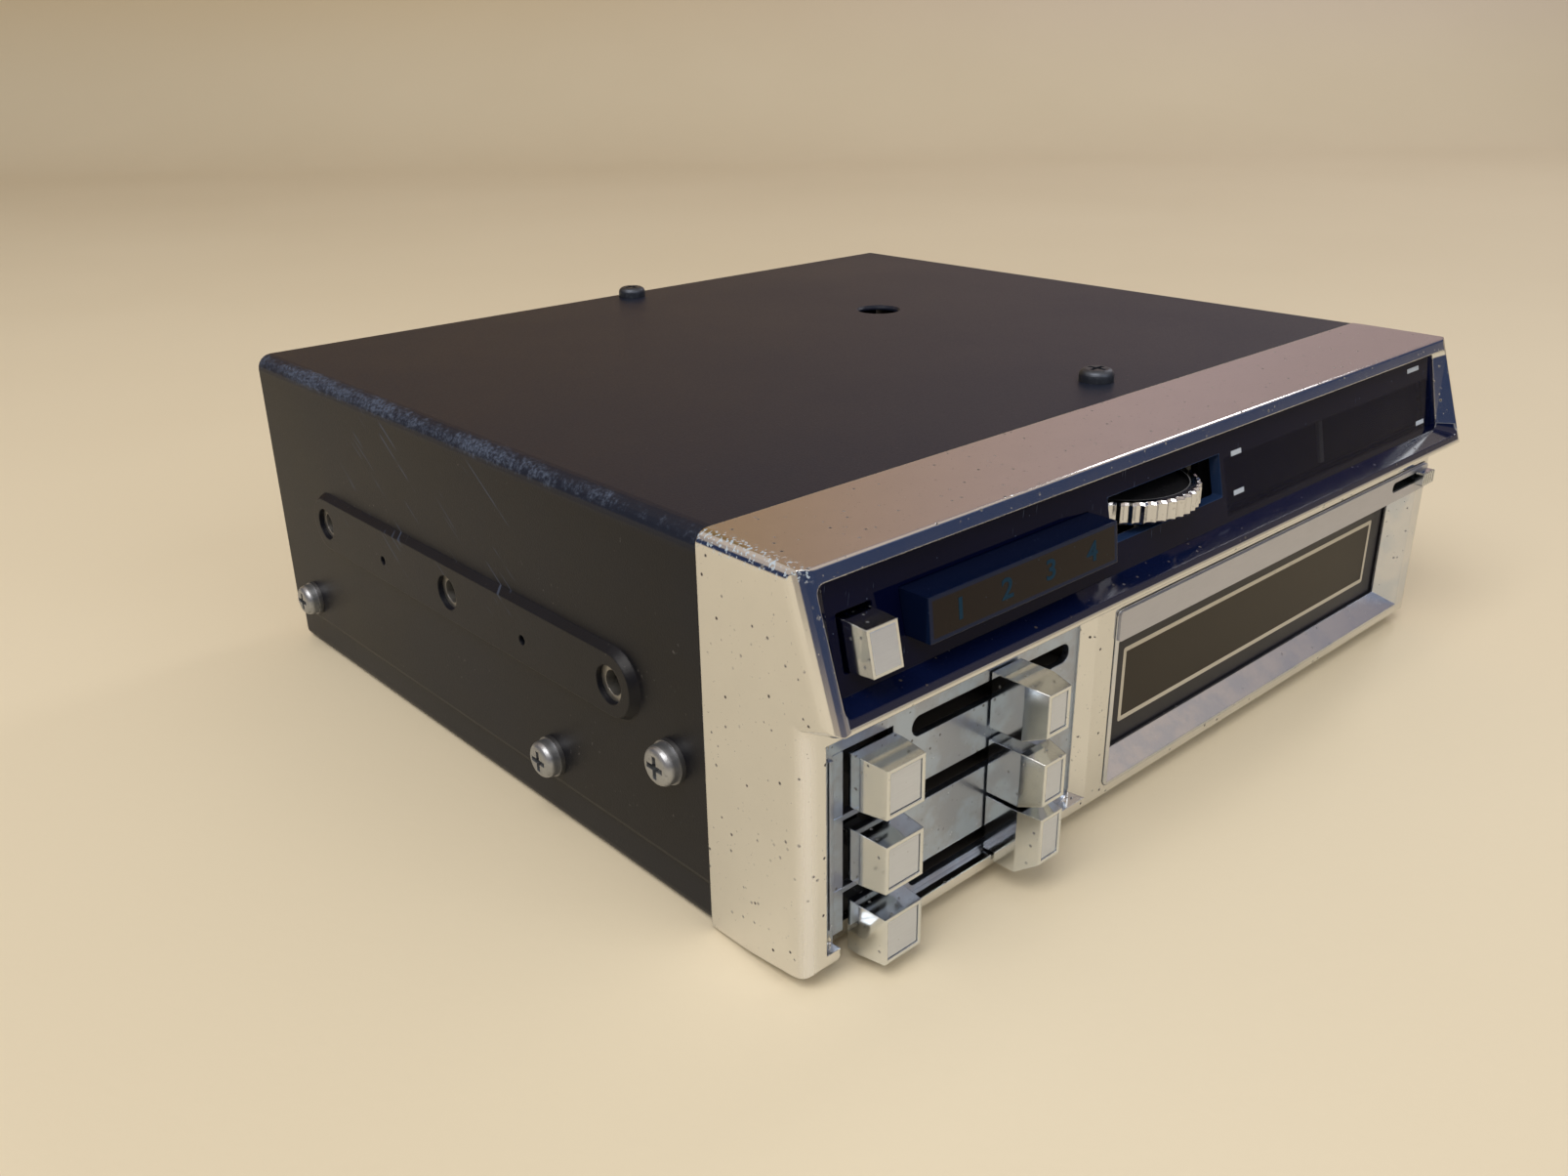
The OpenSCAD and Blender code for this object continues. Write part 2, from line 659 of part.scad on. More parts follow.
// A slider knob over slot i: up and down are its reach above and below the slot
module slider_knob(i, up, down, face_up, face_down) color([0.74, 0.73, 0.71]) from_seam() {
    z = slot_z[i];
    crease = knob_reach - 4;
    back = plate_reach + gap;
    guard = max(z - down, rim_top + 0.4);
    difference() {
        intersection() {
            bar_x(knob_x - knob_w, knob_x + knob_w) {
                polygon([[-back, guard], [-back, z + up], [-crease, z + up], [-knob_reach, z + face_up],
                    [-knob_reach, z - face_down], [-crease, z - down], [-front_reach - gap, z - down],
                    [-front_reach - gap, guard]]);
            }
            bar_z(z - 20, z + 20) {
                polygon([[knob_x - knob_w / 2, -back], [knob_x - knob_w / 2, -crease],
                    [knob_x - knob_face_w / 2, -knob_reach], [knob_x + knob_face_w / 2, -knob_reach],
                    [knob_x + knob_w / 2, -crease], [knob_x + knob_w / 2, -back]]);
            }
        }
        block([knob_x - knob_face_w / 2 + 0.6, knob_x + knob_face_w / 2 - 0.6],
            [-knob_reach - 1, -knob_reach + 0.5], [z - face_down + 0.6, z + face_up - 0.6]);
    }
    block([knob_x - stem_w / 2, knob_x + stem_w / 2], [-back, -plate_reach + 7.2], [z - 0.9, z + 0.9]);
}

module balance_knob() slider_knob(0, 3.2, 6.3, 2.6, 4.6);
module tone_knob() slider_knob(1, 3.1, 6.3, 2.4, 4.9);
module volume_knob() slider_knob(2, 7.4, 3.8, 7.2, 1);

module slide_controls() color([0.30, 0.24, 0.16]) from_seam() for (z = slot_z) difference() {
    block([slot_x0 - 1.7, slot_x0 + slot_l + 1.7], [plate_back, plate_back + 9],
        [z - pot_h / 2, z + pot_h / 2]);
    block([slot_x0, slot_x0 + slot_l], [plate_back - 1, -plate_reach + 7.7],
        [z - slot_h / 2, z + slot_h / 2]);
}

// ---- Dial ----

module dial_window() color([0.03, 0.03, 0.06]) from_seam() difference() {
    on_window() block([-recess_w / 2 - 0.8, recess_w / 2 + 0.8], [0, window_t],
        [recess_low - 0.5, recess_high + 0.5]);
    bar_y(-30, 0) {
        panel(program_x - program_w / 2 - 0.6, program_x + program_w / 2 + 0.6,
            program_z - program_root_h / 2 - 0.5, program_z + program_root_h / 2 + 0.5, 0.4);
        panel(indicator_x0 - 0.1, indicator_x1 + 0.1, indicator_z0 - 0.1,
            indicator_z0 + indicator_h + 0.1, 0.2);
        panel(wheel_cut0, wheel_cut1, dial_mid_z - 3.1, dial_mid_z + 4.3, 0.4);
    }
}

// The printed plate that the pointer passes over
module dial_scale() color([0.02, 0.02, 0.03]) from_seam() {
    y_low = window_back(chassis_top) + 1.7;
    y_high = window_back(scale_top) + 1.7;
    bar_x(scale_x0, scale_x1) {
        polygon([[y_low, chassis_top], [y_low + 1, chassis_top], [y_high + 1, scale_top],
            [y_high, scale_top]]);
    }
}

// Sheet bracket behind the dial: it carries the wheel, the idler, the rail and the lamps
module dial_chassis() color([0.62, 0.62, 0.58]) from_seam() difference() {
    union() {
        block([-cavity_w / 2, cavity_w / 2], [-18.6, -1], [chassis_top - chassis_t, chassis_top]);
        for (x = [scale_x0 + 0.4, idler_x + 6]) {
            block([x, x + 1.2], [rail_y - 2.2, rail_y + 4], [chassis_top, rail_z + 2]);
        }
        for (x = lamp_x, s = [-lamp_hold, lamp_l]) {
            block([x + s, x + s + 0.8], [lamp_y - 3, lamp_y + 3], [cord_z + 1, lamp_z + 3]);
            block([x + s, x + s + 0.8], [lamp_y - 1, lamp_y + 1], [chassis_top, cord_z + 1]);
        }
    }
    rod_x(scale_x0, right, rail_y, rail_z, rail_d / 2 + seat);
    for (x = [wheel_x, idler_x]) {
        rod_z(chassis_top - 2, chassis_top + 1, x, wheel_y, wheel_shaft_r + seat);
    }
}

flute_depth = 0.55;
wheel_edge = 0.4;                    // chamfer of the fluted rim
wheel_scale = 1 - wheel_edge / wheel_r;

// Outline of the fluted rim: each flute is a shallow hollow between two ridges
module flute_ring() {
    n = 3;
    polygon([for (i = [0:flutes * n - 1])
        let(t = (i % n) / n * 2 - 1, r = wheel_r - flute_depth * (1 - t * t))
        r * [cos(360 * i / (flutes * n)), sin(360 * i / (flutes * n))]]);
}

module tuning_wheel() color([0.72, 0.74, 0.78]) from_seam() translate([wheel_x, wheel_y, 0]) {
    difference() {
        union() {
            bar_z(wheel_low + wheel_edge, wheel_top - wheel_edge) flute_ring();
            translate([0, 0, wheel_top - wheel_edge]) {
                linear_extrude(height = wheel_edge, scale = wheel_scale) flute_ring();
            }
            translate([0, 0, wheel_low + wheel_edge]) mirror([0, 0, 1]) {
                linear_extrude(height = wheel_edge, scale = wheel_scale) flute_ring();
            }
            cylinder(r = 3, h = wheel_low + 1);
            rod_z(drum_z, drum_z + drum_h, 0, 0, drum_r);
        }
        rotate_extrude() {
            polygon([[3.5, wheel_top - 0.6], [wheel_r - 2.2, wheel_top - 0.6],
                [wheel_r - 1.8, wheel_top + 1], [3.5, wheel_top + 1]]);
        }
        bar_z(-1, chassis_top + gap) square(20, center = true);
        rod_z(0, case_h, 0, 0, wheel_shaft_r + running);
    }
}

module dial_pins() color([0.8, 0.8, 0.8]) from_seam() for (x = [wheel_x, idler_x]) {
    rod_z(chassis_top - chassis_t, x == wheel_x ? wheel_top : drum_z + drum_h + 0.5, x, wheel_y,
        wheel_shaft_r);
}

module idler_pulley() color([0.85, 0.82, 0.74]) from_seam() difference() {
    translate([idler_x, wheel_y, 0]) rotate_extrude() {
        polygon([[0, chassis_top + gap], [3, chassis_top + gap], [3, drum_z - 0.4], [drum_r + 1.2, drum_z - 0.4],
            [drum_r + 1.2, drum_z], [drum_r, drum_z + 0.15 * drum_h], [drum_r, drum_z + 0.85 * drum_h],
            [drum_r + 1.2, drum_z + drum_h], [0, drum_z + drum_h]]);
    }
    rod_z(0, case_h, idler_x, wheel_y, wheel_shaft_r + running);
}

// The cord runs round the drum and the idler and stays clear of both by the gap
module tuning_cord() color([0.35, 0.28, 0.16]) from_seam() {
    bar_z(cord_z - cord_d / 2, cord_z + cord_d / 2) difference() {
        loop_outline(cord_r + cord_d / 2);
        loop_outline(cord_r - cord_d / 2);
    }
}

module loop_outline(r) {
    translate([wheel_x, wheel_y - r]) square([idler_x - wheel_x, 2 * r]);
    translate([wheel_x, wheel_y]) circle(r);
    translate([idler_x, wheel_y]) circle(r);
}

// Carriage on the rail with the blade that hangs in front of the scale
module dial_pointer() color([0.8, 0.82, 0.85]) from_seam() difference() {
    union() {
        rod_x(pointer_x - carriage_w / 2, pointer_x + carriage_w / 2, rail_y, rail_z, rail_d / 2 + 0.8);
        block([pointer_x - 2, pointer_x + 2], [window_back(rail_z) + 0.5, rail_y],
            [rail_z - 0.6, rail_z + 0.6]);
        bar_x(pointer_x - pointer_w / 2, pointer_x + pointer_w / 2) {
            polygon([[window_back(blade_low) + 0.5, blade_low], [window_back(blade_low) + 0.5 + blade_t,
                blade_low], [window_back(rail_z) + 0.5 + blade_t, rail_z + 0.6],
                [window_back(rail_z) + 0.5, rail_z + 0.6]]);
        }
        block([pointer_x - 2, pointer_x + 2], [rail_y - 1.1, rail_y + 0.8], [cord_z - 1, rail_z]);
        block([pointer_x - 2, pointer_x + 2], [wheel_y - cord_r + cord_d / 2 + gap, rail_y],
            [cord_z - 1, cord_z + 1]);
    }
    rod_x(left, right, rail_y, rail_z, rail_d / 2 + running);
}

module pointer_rail() color([0.85, 0.85, 0.86]) from_seam() {
    rod_x(scale_x0 + 0.4, idler_x + 7.2, rail_y, rail_z, rail_d / 2);
}

module dial_lamps() color([0.95, 0.9, 0.7]) from_seam() {
    for (x = lamp_x) translate([x, lamp_y, lamp_z]) rotate([0, 90, 0]) {
        rotate_extrude() {
            polygon([[0, -lamp_l], [1.6, -lamp_l], [1.6, 3 - lamp_l], [2.4, 4 - lamp_l],
                [2.4, lamp_l - 4], [1.6, lamp_l - 3], [1.6, lamp_l], [0, lamp_l]]);
        }
    }
}

// ---- Program indicator and program button ----

indicator_back = window_back(indicator_z0) + 1.5;

module program_indicator() color([0.10, 0.10, 0.16]) from_seam() difference() {
    union() {
        bar_x(indicator_x0, indicator_x1) {
            polygon([[indicator_back, indicator_z0], [-indicator_reach - 0.35, indicator_z0],
                [-indicator_reach + 0.35, indicator_z0 + indicator_h],
                [indicator_back, indicator_z0 + indicator_h]]);
        }
        on_window() translate([0, window_t, 0]) {
            block([indicator_x0 - 1.4, indicator_x1 + 1.4], [0.05, 0.9],
                [(indicator_z0 - window_z - 1.2) / cos(window_lean),
                    (indicator_z0 + indicator_h - window_z + 1.2) / cos(window_lean)]);
        }
    }
    for (i = [0:3]) {
        block([indicator_x0 + i * lamp_pitch + 0.8, indicator_x0 + (i + 1) * lamp_pitch - 0.8],
            [-indicator_reach + 1.5, indicator_back + 1], [indicator_z0 + 0.8, indicator_z0 + indicator_h - 0.8]);
    }
}

housing_y0 = window_back(indicator_z0 + indicator_h) + 1.9;

module indicator_housing() color([0.16, 0.16, 0.17]) from_seam() difference() {
    block([indicator_x0 - 1.6, indicator_x1 + 1.6], [housing_y0, -4], [chassis_top, case_h - 3.9]);
    for (i = [0:3]) {
        block([indicator_x0 + i * lamp_pitch + 0.8, indicator_x0 + (i + 1) * lamp_pitch - 0.8],
            [housing_y0 - 1, -7], [indicator_z0 - 0.3, indicator_z0 + indicator_h + 0.3]);
        rod_y(-8, -3, indicator_x0 + (i + 0.5) * lamp_pitch, dial_mid_z, bulb_d / 2 - 0.5);
    }
}

module indicator_lamps() color([0.95, 0.9, 0.7]) from_seam() for (i = [0:3]) {
    translate([indicator_x0 + (i + 0.5) * lamp_pitch, 0, dial_mid_z]) rotate([90, 0, 0]) rotate_extrude() {
        polygon([[0, 2], [bulb_d / 2 - 0.6, 2], [bulb_d / 2 - 0.6, 7], [bulb_d / 2, 7.2],
            [bulb_d / 2, 12], [bulb_d / 4, 13.6], [0, 14]]);
    }
}

module program_button() color([0.72, 0.70, 0.72]) from_seam() {
    push_cap(program_x, program_z, [program_w + 0.2, program_root_h], [program_w, program_h],
        indicator_reach + 1, indicator_reach - 3, 17.5, 1.4);
    block([program_x - 1.5, program_x + 1.5], [-17.5, -4], [program_z - 1.5, program_z + 1.5]);
}

module program_switch() color([0.22, 0.22, 0.24]) from_seam() difference() {
    block([program_x - 4.4, program_x + 4.4], [-14.8, 1], [chassis_top, program_z + 4.4]);
    block([program_x - 1.5 - gap, program_x + 1.5 + gap], [-16, -4 + program_travel + gap],
        [program_z - 1.5 - gap, program_z + 1.5 + gap]);
}

// ---- Tape opening ----

module tape_bezel() color([0.78, 0.76, 0.72]) from_seam() {
    difference() {
        union() {
            bar_y(-bezel_front, -bezel_back) panel(bezel_x0, bezel_x1, rim_top, bezel_top, 1.3);
            bar_y(-plate_reach, -bezel_back) {
                panel(bezel_x0 - 1.4, bezel_x1 + 0.6, rim_top - 0.4, bezel_top + 1.2, 1);
            }
        }
        bezel_recess();
        bar_y(-bezel_front - 1, -bezel_back + 1) {
            stadium(local_x - local_travel - 2.4, local_x + 2.4, local_z, 2.2);
        }
    }
    bezel_lug(door_x0 - hinge_play - bezel_lug_w);
    bezel_lug(door_x1 + hinge_play);
}

// The recess narrows on its way in to the door
module bezel_recess() {
    x0 = bay_x - opening_w / 2;
    x1 = bay_x + opening_w / 2;
    y0 = -bezel_front;
    y1 = -bezel_back;
    intersection() {
        bar_x(x0 - 10, x1 + 10) polygon([[y0 - 1, opening_z - bezel_draft],
            [y0, opening_z - bezel_draft + 0.4], [y1 - 0.5, opening_z], [y1 + 1, opening_z],
            [y1 + 1, opening_top], [y0 - 1, opening_top]]);
        bar_z(0, bezel_top) polygon([[x0 - 2.5, y0 - 1], [x0 - 2.5, y0], [x0, y1 - 0.5], [x0, y1 + 1],
            [x1, y1 + 1], [x1, y1 - 0.5], [x1 + 4.2, y0], [x1 + 4.2, y0 - 1]]);
    }
}

module bezel_lug(x) difference() {
    bar_x(x, x + bezel_lug_w) polygon(rounded([[-bezel_back - 0.5, hinge_z - 4], [hinge_y + 2, hinge_z - 2],
        [hinge_y + 2, hinge_z + 1.6], [-bezel_back - 0.5, hinge_z + 1.6]], [0, 1, 1, 0]));
    rod_x(x - 1, x + bezel_lug_w + 1, hinge_y, hinge_z, hinge_d / 2 + seat);
}

module trim_strip() color([0.80, 0.79, 0.77]) from_seam() {
    bar_y(-bezel_front - 0.4, -bezel_front) difference() {
        panel(bezel_x0 + 0.4, bezel_x1 - 0.2, opening_top + 0.3, bezel_top - 0.3, 0.6);
        stadium(local_x - local_travel - 2.4, local_x + 2.4, local_z, 2.2);
    }
}

module local_knob() color([0.76, 0.76, 0.77]) from_seam() {
    y1 = -bezel_front - 0.4 - gap;
    difference() {
        bar_y(y1 - 1.8, y1) {
            panel(local_x - local_w / 2, local_x + local_w / 2, local_z - local_h / 2,
                local_z + local_h / 2, 0.3);
        }
        for (i = [-2:2]) {
            block([local_x + i - 0.25, local_x + i + 0.25], [y1 - 3, y1 - 1.3], [local_z - 3, local_z + 3]);
        }
    }
    block([local_x - 1.2, local_x + 1.2], [y1, -bezel_back + 3], [local_z - 0.6, local_z + 0.6]);
}

module local_switch() color([0.5, 0.5, 0.48]) from_seam() difference() {
    block([local_x - local_travel - 4, right - 3], [-bezel_back, -9], [local_z - 0.5, local_z + 4.2]);
    block([local_x - local_travel - 2, local_x + 2], [-bezel_back - 1, -bezel_back + 3.5],
        [local_z - 2, local_z + 0.6 + gap]);
}

module tape_door() color([0.20, 0.16, 0.11]) from_seam() difference() {
    union() {
        bar_y(-door_reach, door_y1) panel(door_x0, door_x1, door_z0, door_z1, 0.8);
        for (x = [door_x0, door_x1 - lug_w]) {
            rod_x(x, x + lug_w, hinge_y, hinge_z, lug_r);
            block([x, x + lug_w], [hinge_y - lug_r + 0.1, hinge_y + 0.1], [door_z1 - 2, hinge_z]);
        }
        bar_x(door_x0 + 4, door_x1 - 4) {
            polygon([[door_y1 - eps, door_z0 + 3], [door_y1 + 1.2, door_z0 + 3.4], [door_y1 + 1.2, door_z0 + 4.2],
                [door_y1 - eps, door_z0 + 4.6]]);
        }
    }
    rod_x(door_x0 - 1, door_x1 + 1, hinge_y, hinge_z, hinge_d / 2 + running);
    block([door_x0 + lug_w, door_x0 + lug_w + spring_notch], [-door_reach - 1, door_y1 + 1],
        [hinge_z - 2.3, hinge_z + 2]);
    block([door_x0 + lug_w, door_x1 - lug_w], [-door_reach + 0.8, door_y1 + 1], [hinge_z - 1.2, hinge_z + 2]);
}

module door_pin() color([0.8, 0.8, 0.8]) from_seam() {
    rod_x(door_x0 - hinge_play - bezel_lug_w, door_x1 + hinge_play + bezel_lug_w, hinge_y, hinge_z,
        hinge_d / 2);
}

// Torsion spring: a wire wound round the hinge pin, with one straight end in the left lug
spring_turns = 5;
spring_pitch = 0.7;
wire_d = 0.4;
coil_r = 1.3;
wire_sides = 6;
coil_steps = 12;
coil_x0 = door_x0 + lug_w + 0.6;

function coil_point(i) = let(a = 360 * i / coil_steps)
    [coil_x0 + spring_pitch * i / coil_steps, coil_r * cos(a), coil_r * sin(a)];
function coil_ring(i) = let(a = 360 * i / coil_steps, p = coil_point(i))
    [for (k = [0:wire_sides - 1]) let(b = 360 * k / wire_sides)
        p + wire_d / 2 * [sin(b), cos(b) * cos(a), cos(b) * sin(a)]];

module door_spring() color([0.75, 0.75, 0.73]) from_seam() translate([0, hinge_y, hinge_z]) {
    rings = spring_turns * coil_steps;
    pts = [for (i = [0:rings]) each coil_ring(i)];
    sides = [for (i = [0:rings - 1], k = [0:wire_sides - 1], s = [0, 1])
        let(a = i * wire_sides + k, b = i * wire_sides + (k + 1) % wire_sides)
        s == 0 ? [a, b, a + wire_sides] : [b, b + wire_sides, a + wire_sides]];
    end = rings * wire_sides;
    first = [for (k = [1:wire_sides - 2]) [0, k + 1, k]];
    last = [for (k = [1:wire_sides - 2]) [end, end + k, end + k + 1]];
    polyhedron(points = pts, faces = concat(sides, first, last));
}

// ---- Cartridge guide and deck ----

module cartridge_guide() color([0.66, 0.66, 0.62]) from_seam() {
    x0 = bay_x - guide_w / 2;
    x1 = bay_x + guide_w / 2;
    foot = 5.5;
    block([x0 - 1, x1 + 1], [-14.5, guide_back + 4], [floor_z - 1, floor_z]);
    for (x = [[x0 - 1, x0], [x1, x1 + 1]]) {
        block(x, [guide_front, guide_back], [sheet_t, deck_z]);
    }
    block([x0 - 1 - foot, x0], [guide_front, guide_back], [sheet_t, sheet_t + 1]);
    block([x1, x1 + 1 + foot], [guide_front, guide_back], [sheet_t, sheet_t + 1]);
    for (x = [x0 + 1, x1 - 9]) block([x, x + 8], [guide_back + 3, guide_back + 4], [floor_z, floor_z + 7]);
}

module deck_plate() color([0.68, 0.68, 0.64]) from_seam() difference() {
    bar_z(deck_z, deck_top) {
        polygon(rounded([[bay_x - guide_w / 2 - 1, guide_front], [deck_x1, guide_front], [deck_x1, deck_back],
            [left + 16, deck_back], [left + 16, wing_y], [bay_x - guide_w / 2 - 1, wing_y]],
            [2, 2, 4, 4, 4, 3]));
    }
    rod_z(deck_z - 1, deck_top + 1, capstan_x, capstan_y, bearing_r + seat);
    rod_z(deck_z - 1, deck_top + 1, motor_x, motor_y, 5.2);
    rod_z(deck_z - 1, deck_top + 1, post_x, post_y, post_r + seat);
    bar_z(deck_z - 1, deck_top + 1) panel(bay_x - 30, bay_x + 20, guide_front + 12, guide_front + 38, 4);
}

pillar_places = [[left + 20, deck_back - 5], [right - 9, deck_back - 5], [left + 20, wing_y + 4]];

module deck_pillars() color([0.7, 0.62, 0.35]) from_seam() for (p = pillar_places) {
    translate([p[0], p[1], sheet_t]) cylinder(r = 3.2, h = deck_z - sheet_t, $fn = 6);
}

// ---- Drive ----

module capstan_shaft() color([0.85, 0.85, 0.87]) from_seam() {
    rod_z(floor_z + 2.2, flywheel_z + flywheel_t + 1.5, capstan_x, capstan_y, capstan_d / 2);
}

module capstan_bearing() color([0.72, 0.58, 0.32]) from_seam() difference() {
    translate([capstan_x, capstan_y, 0]) rotate_extrude() {
        polygon([[0, deck_z - 4], [bearing_r - 1, deck_z - 4], [bearing_r, deck_z - 3], [bearing_r, deck_top],
            [bearing_r + 3, deck_top], [bearing_r + 3, deck_top + 1.5], [bearing_r - 1, deck_top + 2],
            [bearing_r - 1, flywheel_z - 1], [0, flywheel_z - 1]]);
    }
    rod_z(0, case_h, capstan_x, capstan_y, capstan_d / 2 + running);
}

module flywheel() color([0.62, 0.60, 0.55]) from_seam() difference() {
    translate([capstan_x, capstan_y, flywheel_z]) rotate_extrude() {
        polygon([[0, -0.6], [capstan_d / 2 + 3, -0.6], [capstan_d / 2 + 3, 1], [flywheel_r - 6, 2.5],
            [flywheel_r - 6, 0], [flywheel_r, 0], [flywheel_r, flywheel_t], [flywheel_r - 6, flywheel_t],
            [flywheel_r - 6, 5.5], [capstan_d / 2 + 3, 5], [capstan_d / 2 + 3, flywheel_t + 1],
            [0, flywheel_t + 1]]);
    }
    rod_z(0, case_h, capstan_x, capstan_y, capstan_d / 2 + seat);
}

module drive_motor() color([0.60, 0.61, 0.62]) from_seam() difference() {
    translate([motor_x, motor_y, 0]) rotate_extrude() {
        polygon([[0, 8], [motor_r - 2, 8], [motor_r, 9.5], [motor_r, deck_z - 1.2], [motor_r - 1.2, deck_z],
            [5, deck_z], [5, deck_top + 1], [0, deck_top + 1]]);
    }
    rod_z(28, case_h, motor_x, motor_y, 1 + running);
}

module motor_pulley() color([0.78, 0.66, 0.36]) from_seam() translate([motor_x, motor_y, 0]) {
    rotate_extrude() {
        polygon([[0, 30], [1, 30], [1, pulley_z], [pulley_r + 1, pulley_z], [pulley_r + 1, belt_z - 0.8],
            [pulley_r, belt_z - 0.3], [pulley_r, belt_z + belt_w + 0.3], [pulley_r + 1, belt_z + belt_w + 0.8],
            [pulley_r + 1, belt_z + belt_w + 1.8], [0, belt_z + belt_w + 1.8]]);
    }
}

// Outer outline of a belt that is r larger than the two wheels it runs on
module belt_outline(r) hull() {
    translate([capstan_x, capstan_y]) circle(flywheel_r + r, $fn = 64);
    translate([motor_x, motor_y]) circle(pulley_r + r, $fn = 32);
}

module drive_belt() color([0.08, 0.08, 0.08]) from_seam() bar_z(belt_z, belt_z + belt_w) difference() {
    belt_outline(gap + belt_t);
    belt_outline(gap);
}

// ---- Head, program cam and solenoid ----

module head_post() color([0.85, 0.85, 0.87]) from_seam() rod_z(sheet_t, deck_top, post_x, post_y, post_r);

module head_carriage() color([0.72, 0.72, 0.68]) from_seam() difference() {
    union() {
        block([head_x - 8, post_x + 3], [head_y + 10, head_y + 11.4], [arm_z, sleeve_z + 18]);
        rod_z(arm_z, sleeve_z + 20, post_x, post_y, post_r + 2.2);
        block([post_x - 3, post_x + 3], [head_y + 10, post_y], [arm_z, sleeve_z + 16]);
        block([post_x - 1.2, post_x + 1.2], [post_y, post_y + follower_at + 1], [arm_z, arm_z + 2]);
        rod_z(sleeve_z, arm_z + 1, post_x, post_y + follower_at, 1);
    }
    rod_z(0, case_h, post_x, post_y, post_r + running);
}

// Head can whose face is rounded where the tape passes over it
module tape_head() color([0.80, 0.80, 0.82]) from_seam() intersection() {
    block([head_x - 6.5, head_x + 6.5], [head_y, head_y + 10], [sleeve_z + 4, sleeve_z + 16]);
    rod_z(sleeve_z, sleeve_z + 20, head_x, head_y + 11, 11);
}

// Stepping cam: each quarter turn lifts the head carriage by one program
module program_cam() color([0.88, 0.86, 0.80]) from_seam() difference() {
    translate([post_x, post_y, 0]) union() {
        rod_z(sheet_t + gap, cam_z, 0, 0, 4);
        bar_z(cam_z, cam_z + 2) polygon([for (i = [0:23]) (i % 2 == 0 ? cam_r + 1 : cam_r - 0.2)
            * [cos(15 * i), sin(15 * i)]]);
        rod_z(cam_z + 2, cam_z + cam_h, 0, 0, cam_r);
        for (i = [0:2]) translate([0, 0, cam_z + cam_h + i * cam_step]) rotate([0, 0, 105]) {
            rotate_extrude(angle = 270 - 90 * i) translate([3, 0]) square([cam_r - 3, cam_step]);
        }
    }
    rod_z(0, case_h, post_x, post_y, post_r + running);
}

solenoid_y = post_y + cam_r + 2.6;
solenoid_x1 = post_x - 26;
solenoid_z = 9;

module solenoid() color([0.55, 0.30, 0.16]) from_seam() difference() {
    union() {
        rod_x(solenoid_x1 - 24, solenoid_x1 - 2, solenoid_y + 2, solenoid_z, 6.5);
        for (x = [solenoid_x1 - 26, solenoid_x1 - 2]) {
            block([x, x + 2], [solenoid_y - 6, solenoid_y + 11], [sheet_t, solenoid_z + 8]);
        }
        block([solenoid_x1 - 26, solenoid_x1], [solenoid_y + 9.5, solenoid_y + 11], [sheet_t, solenoid_z + 8]);
    }
    rod_x(solenoid_x1 - 18, solenoid_x1 + 1, solenoid_y + 2, solenoid_z, 2.5 + running);
}

// Plunger with the pawl that steps the cam by its lower teeth
module solenoid_plunger() color([0.78, 0.78, 0.78]) from_seam() {
    rod_x(solenoid_x1 - 12, solenoid_x1 + 9, solenoid_y + 2, solenoid_z, 2.5);
    block([solenoid_x1 + 8, post_x - 1], [solenoid_y + 0.2, solenoid_y + 3], [cam_z, cam_z + 1.6]);
    block([solenoid_x1 + 8, solenoid_x1 + 11], [solenoid_y + 0.2, solenoid_y + 3.8], [cam_z, solenoid_z + 2]);
    block([post_x - 2.4, post_x - 1], [solenoid_y - 1, solenoid_y + 0.2], [cam_z, cam_z + 1.6]);
}

// ---- Boards ----

amp_x = [left + 6, bay_x - guide_w / 2 - 10];
amp_y = [13, wing_y - 6.2];
amp_w = amp_x[1] - amp_x[0];
tuner_x = [bay_x - 44, right - 12];
tuner_y = [guide_front + 3, guide_front + 34];

module amplifier_board() color([0.32, 0.38, 0.16]) from_seam() {
    block(amp_x, amp_y, [amp_z, amp_z + board_t]);
    for (i = [0:2]) rod_z(amp_z, amp_z + 22, amp_x[0] + (i + 0.5) * amp_w / 3, amp_y[1] - 10, 6);
    for (i = [0:4], j = [0:1]) {
        rod_z(amp_z, amp_z + 11, amp_x[0] + (i + 0.5) * amp_w / 5, amp_y[0] + 12 + j * 16, 2.6);
    }
    block([amp_x[0] + 4, amp_x[1] - 14], [amp_y[0] + 42, amp_y[0] + 44], [amp_z, amp_z + 20]);
}

module tuner_board() color([0.36, 0.40, 0.20]) from_seam() {
    block(tuner_x, tuner_y, [tuner_z, tuner_z + board_t]);
    for (i = [0:4]) block([tuner_x[0] + 6 + i * 13, tuner_x[0] + 13 + i * 13], [tuner_y[0] + 3, tuner_y[0] + 10],
        [tuner_z, tuner_z + 11]);
    block([tuner_x[1] - 26, tuner_x[1] - 4], [tuner_y[0] + 8, tuner_y[0] + 26], [tuner_z, tuner_z + 12.5]);
}

module board_standoffs() color([0.8, 0.8, 0.76]) from_seam() {
    for (x = amp_x, y = amp_y) {
        rod_z(sheet_t, amp_z, x + (x < amp_x[1] ? 4 : -4), y + (y < amp_y[1] ? 4 : -4), standoff_r);
    }
    for (x = tuner_x, y = tuner_y) {
        rod_z(deck_top, tuner_z, x + (x < tuner_x[1] ? 3 : -3), y + (y < tuner_y[1] ? 3 : -3), standoff_r);
    }
}

// ---- Rear ----

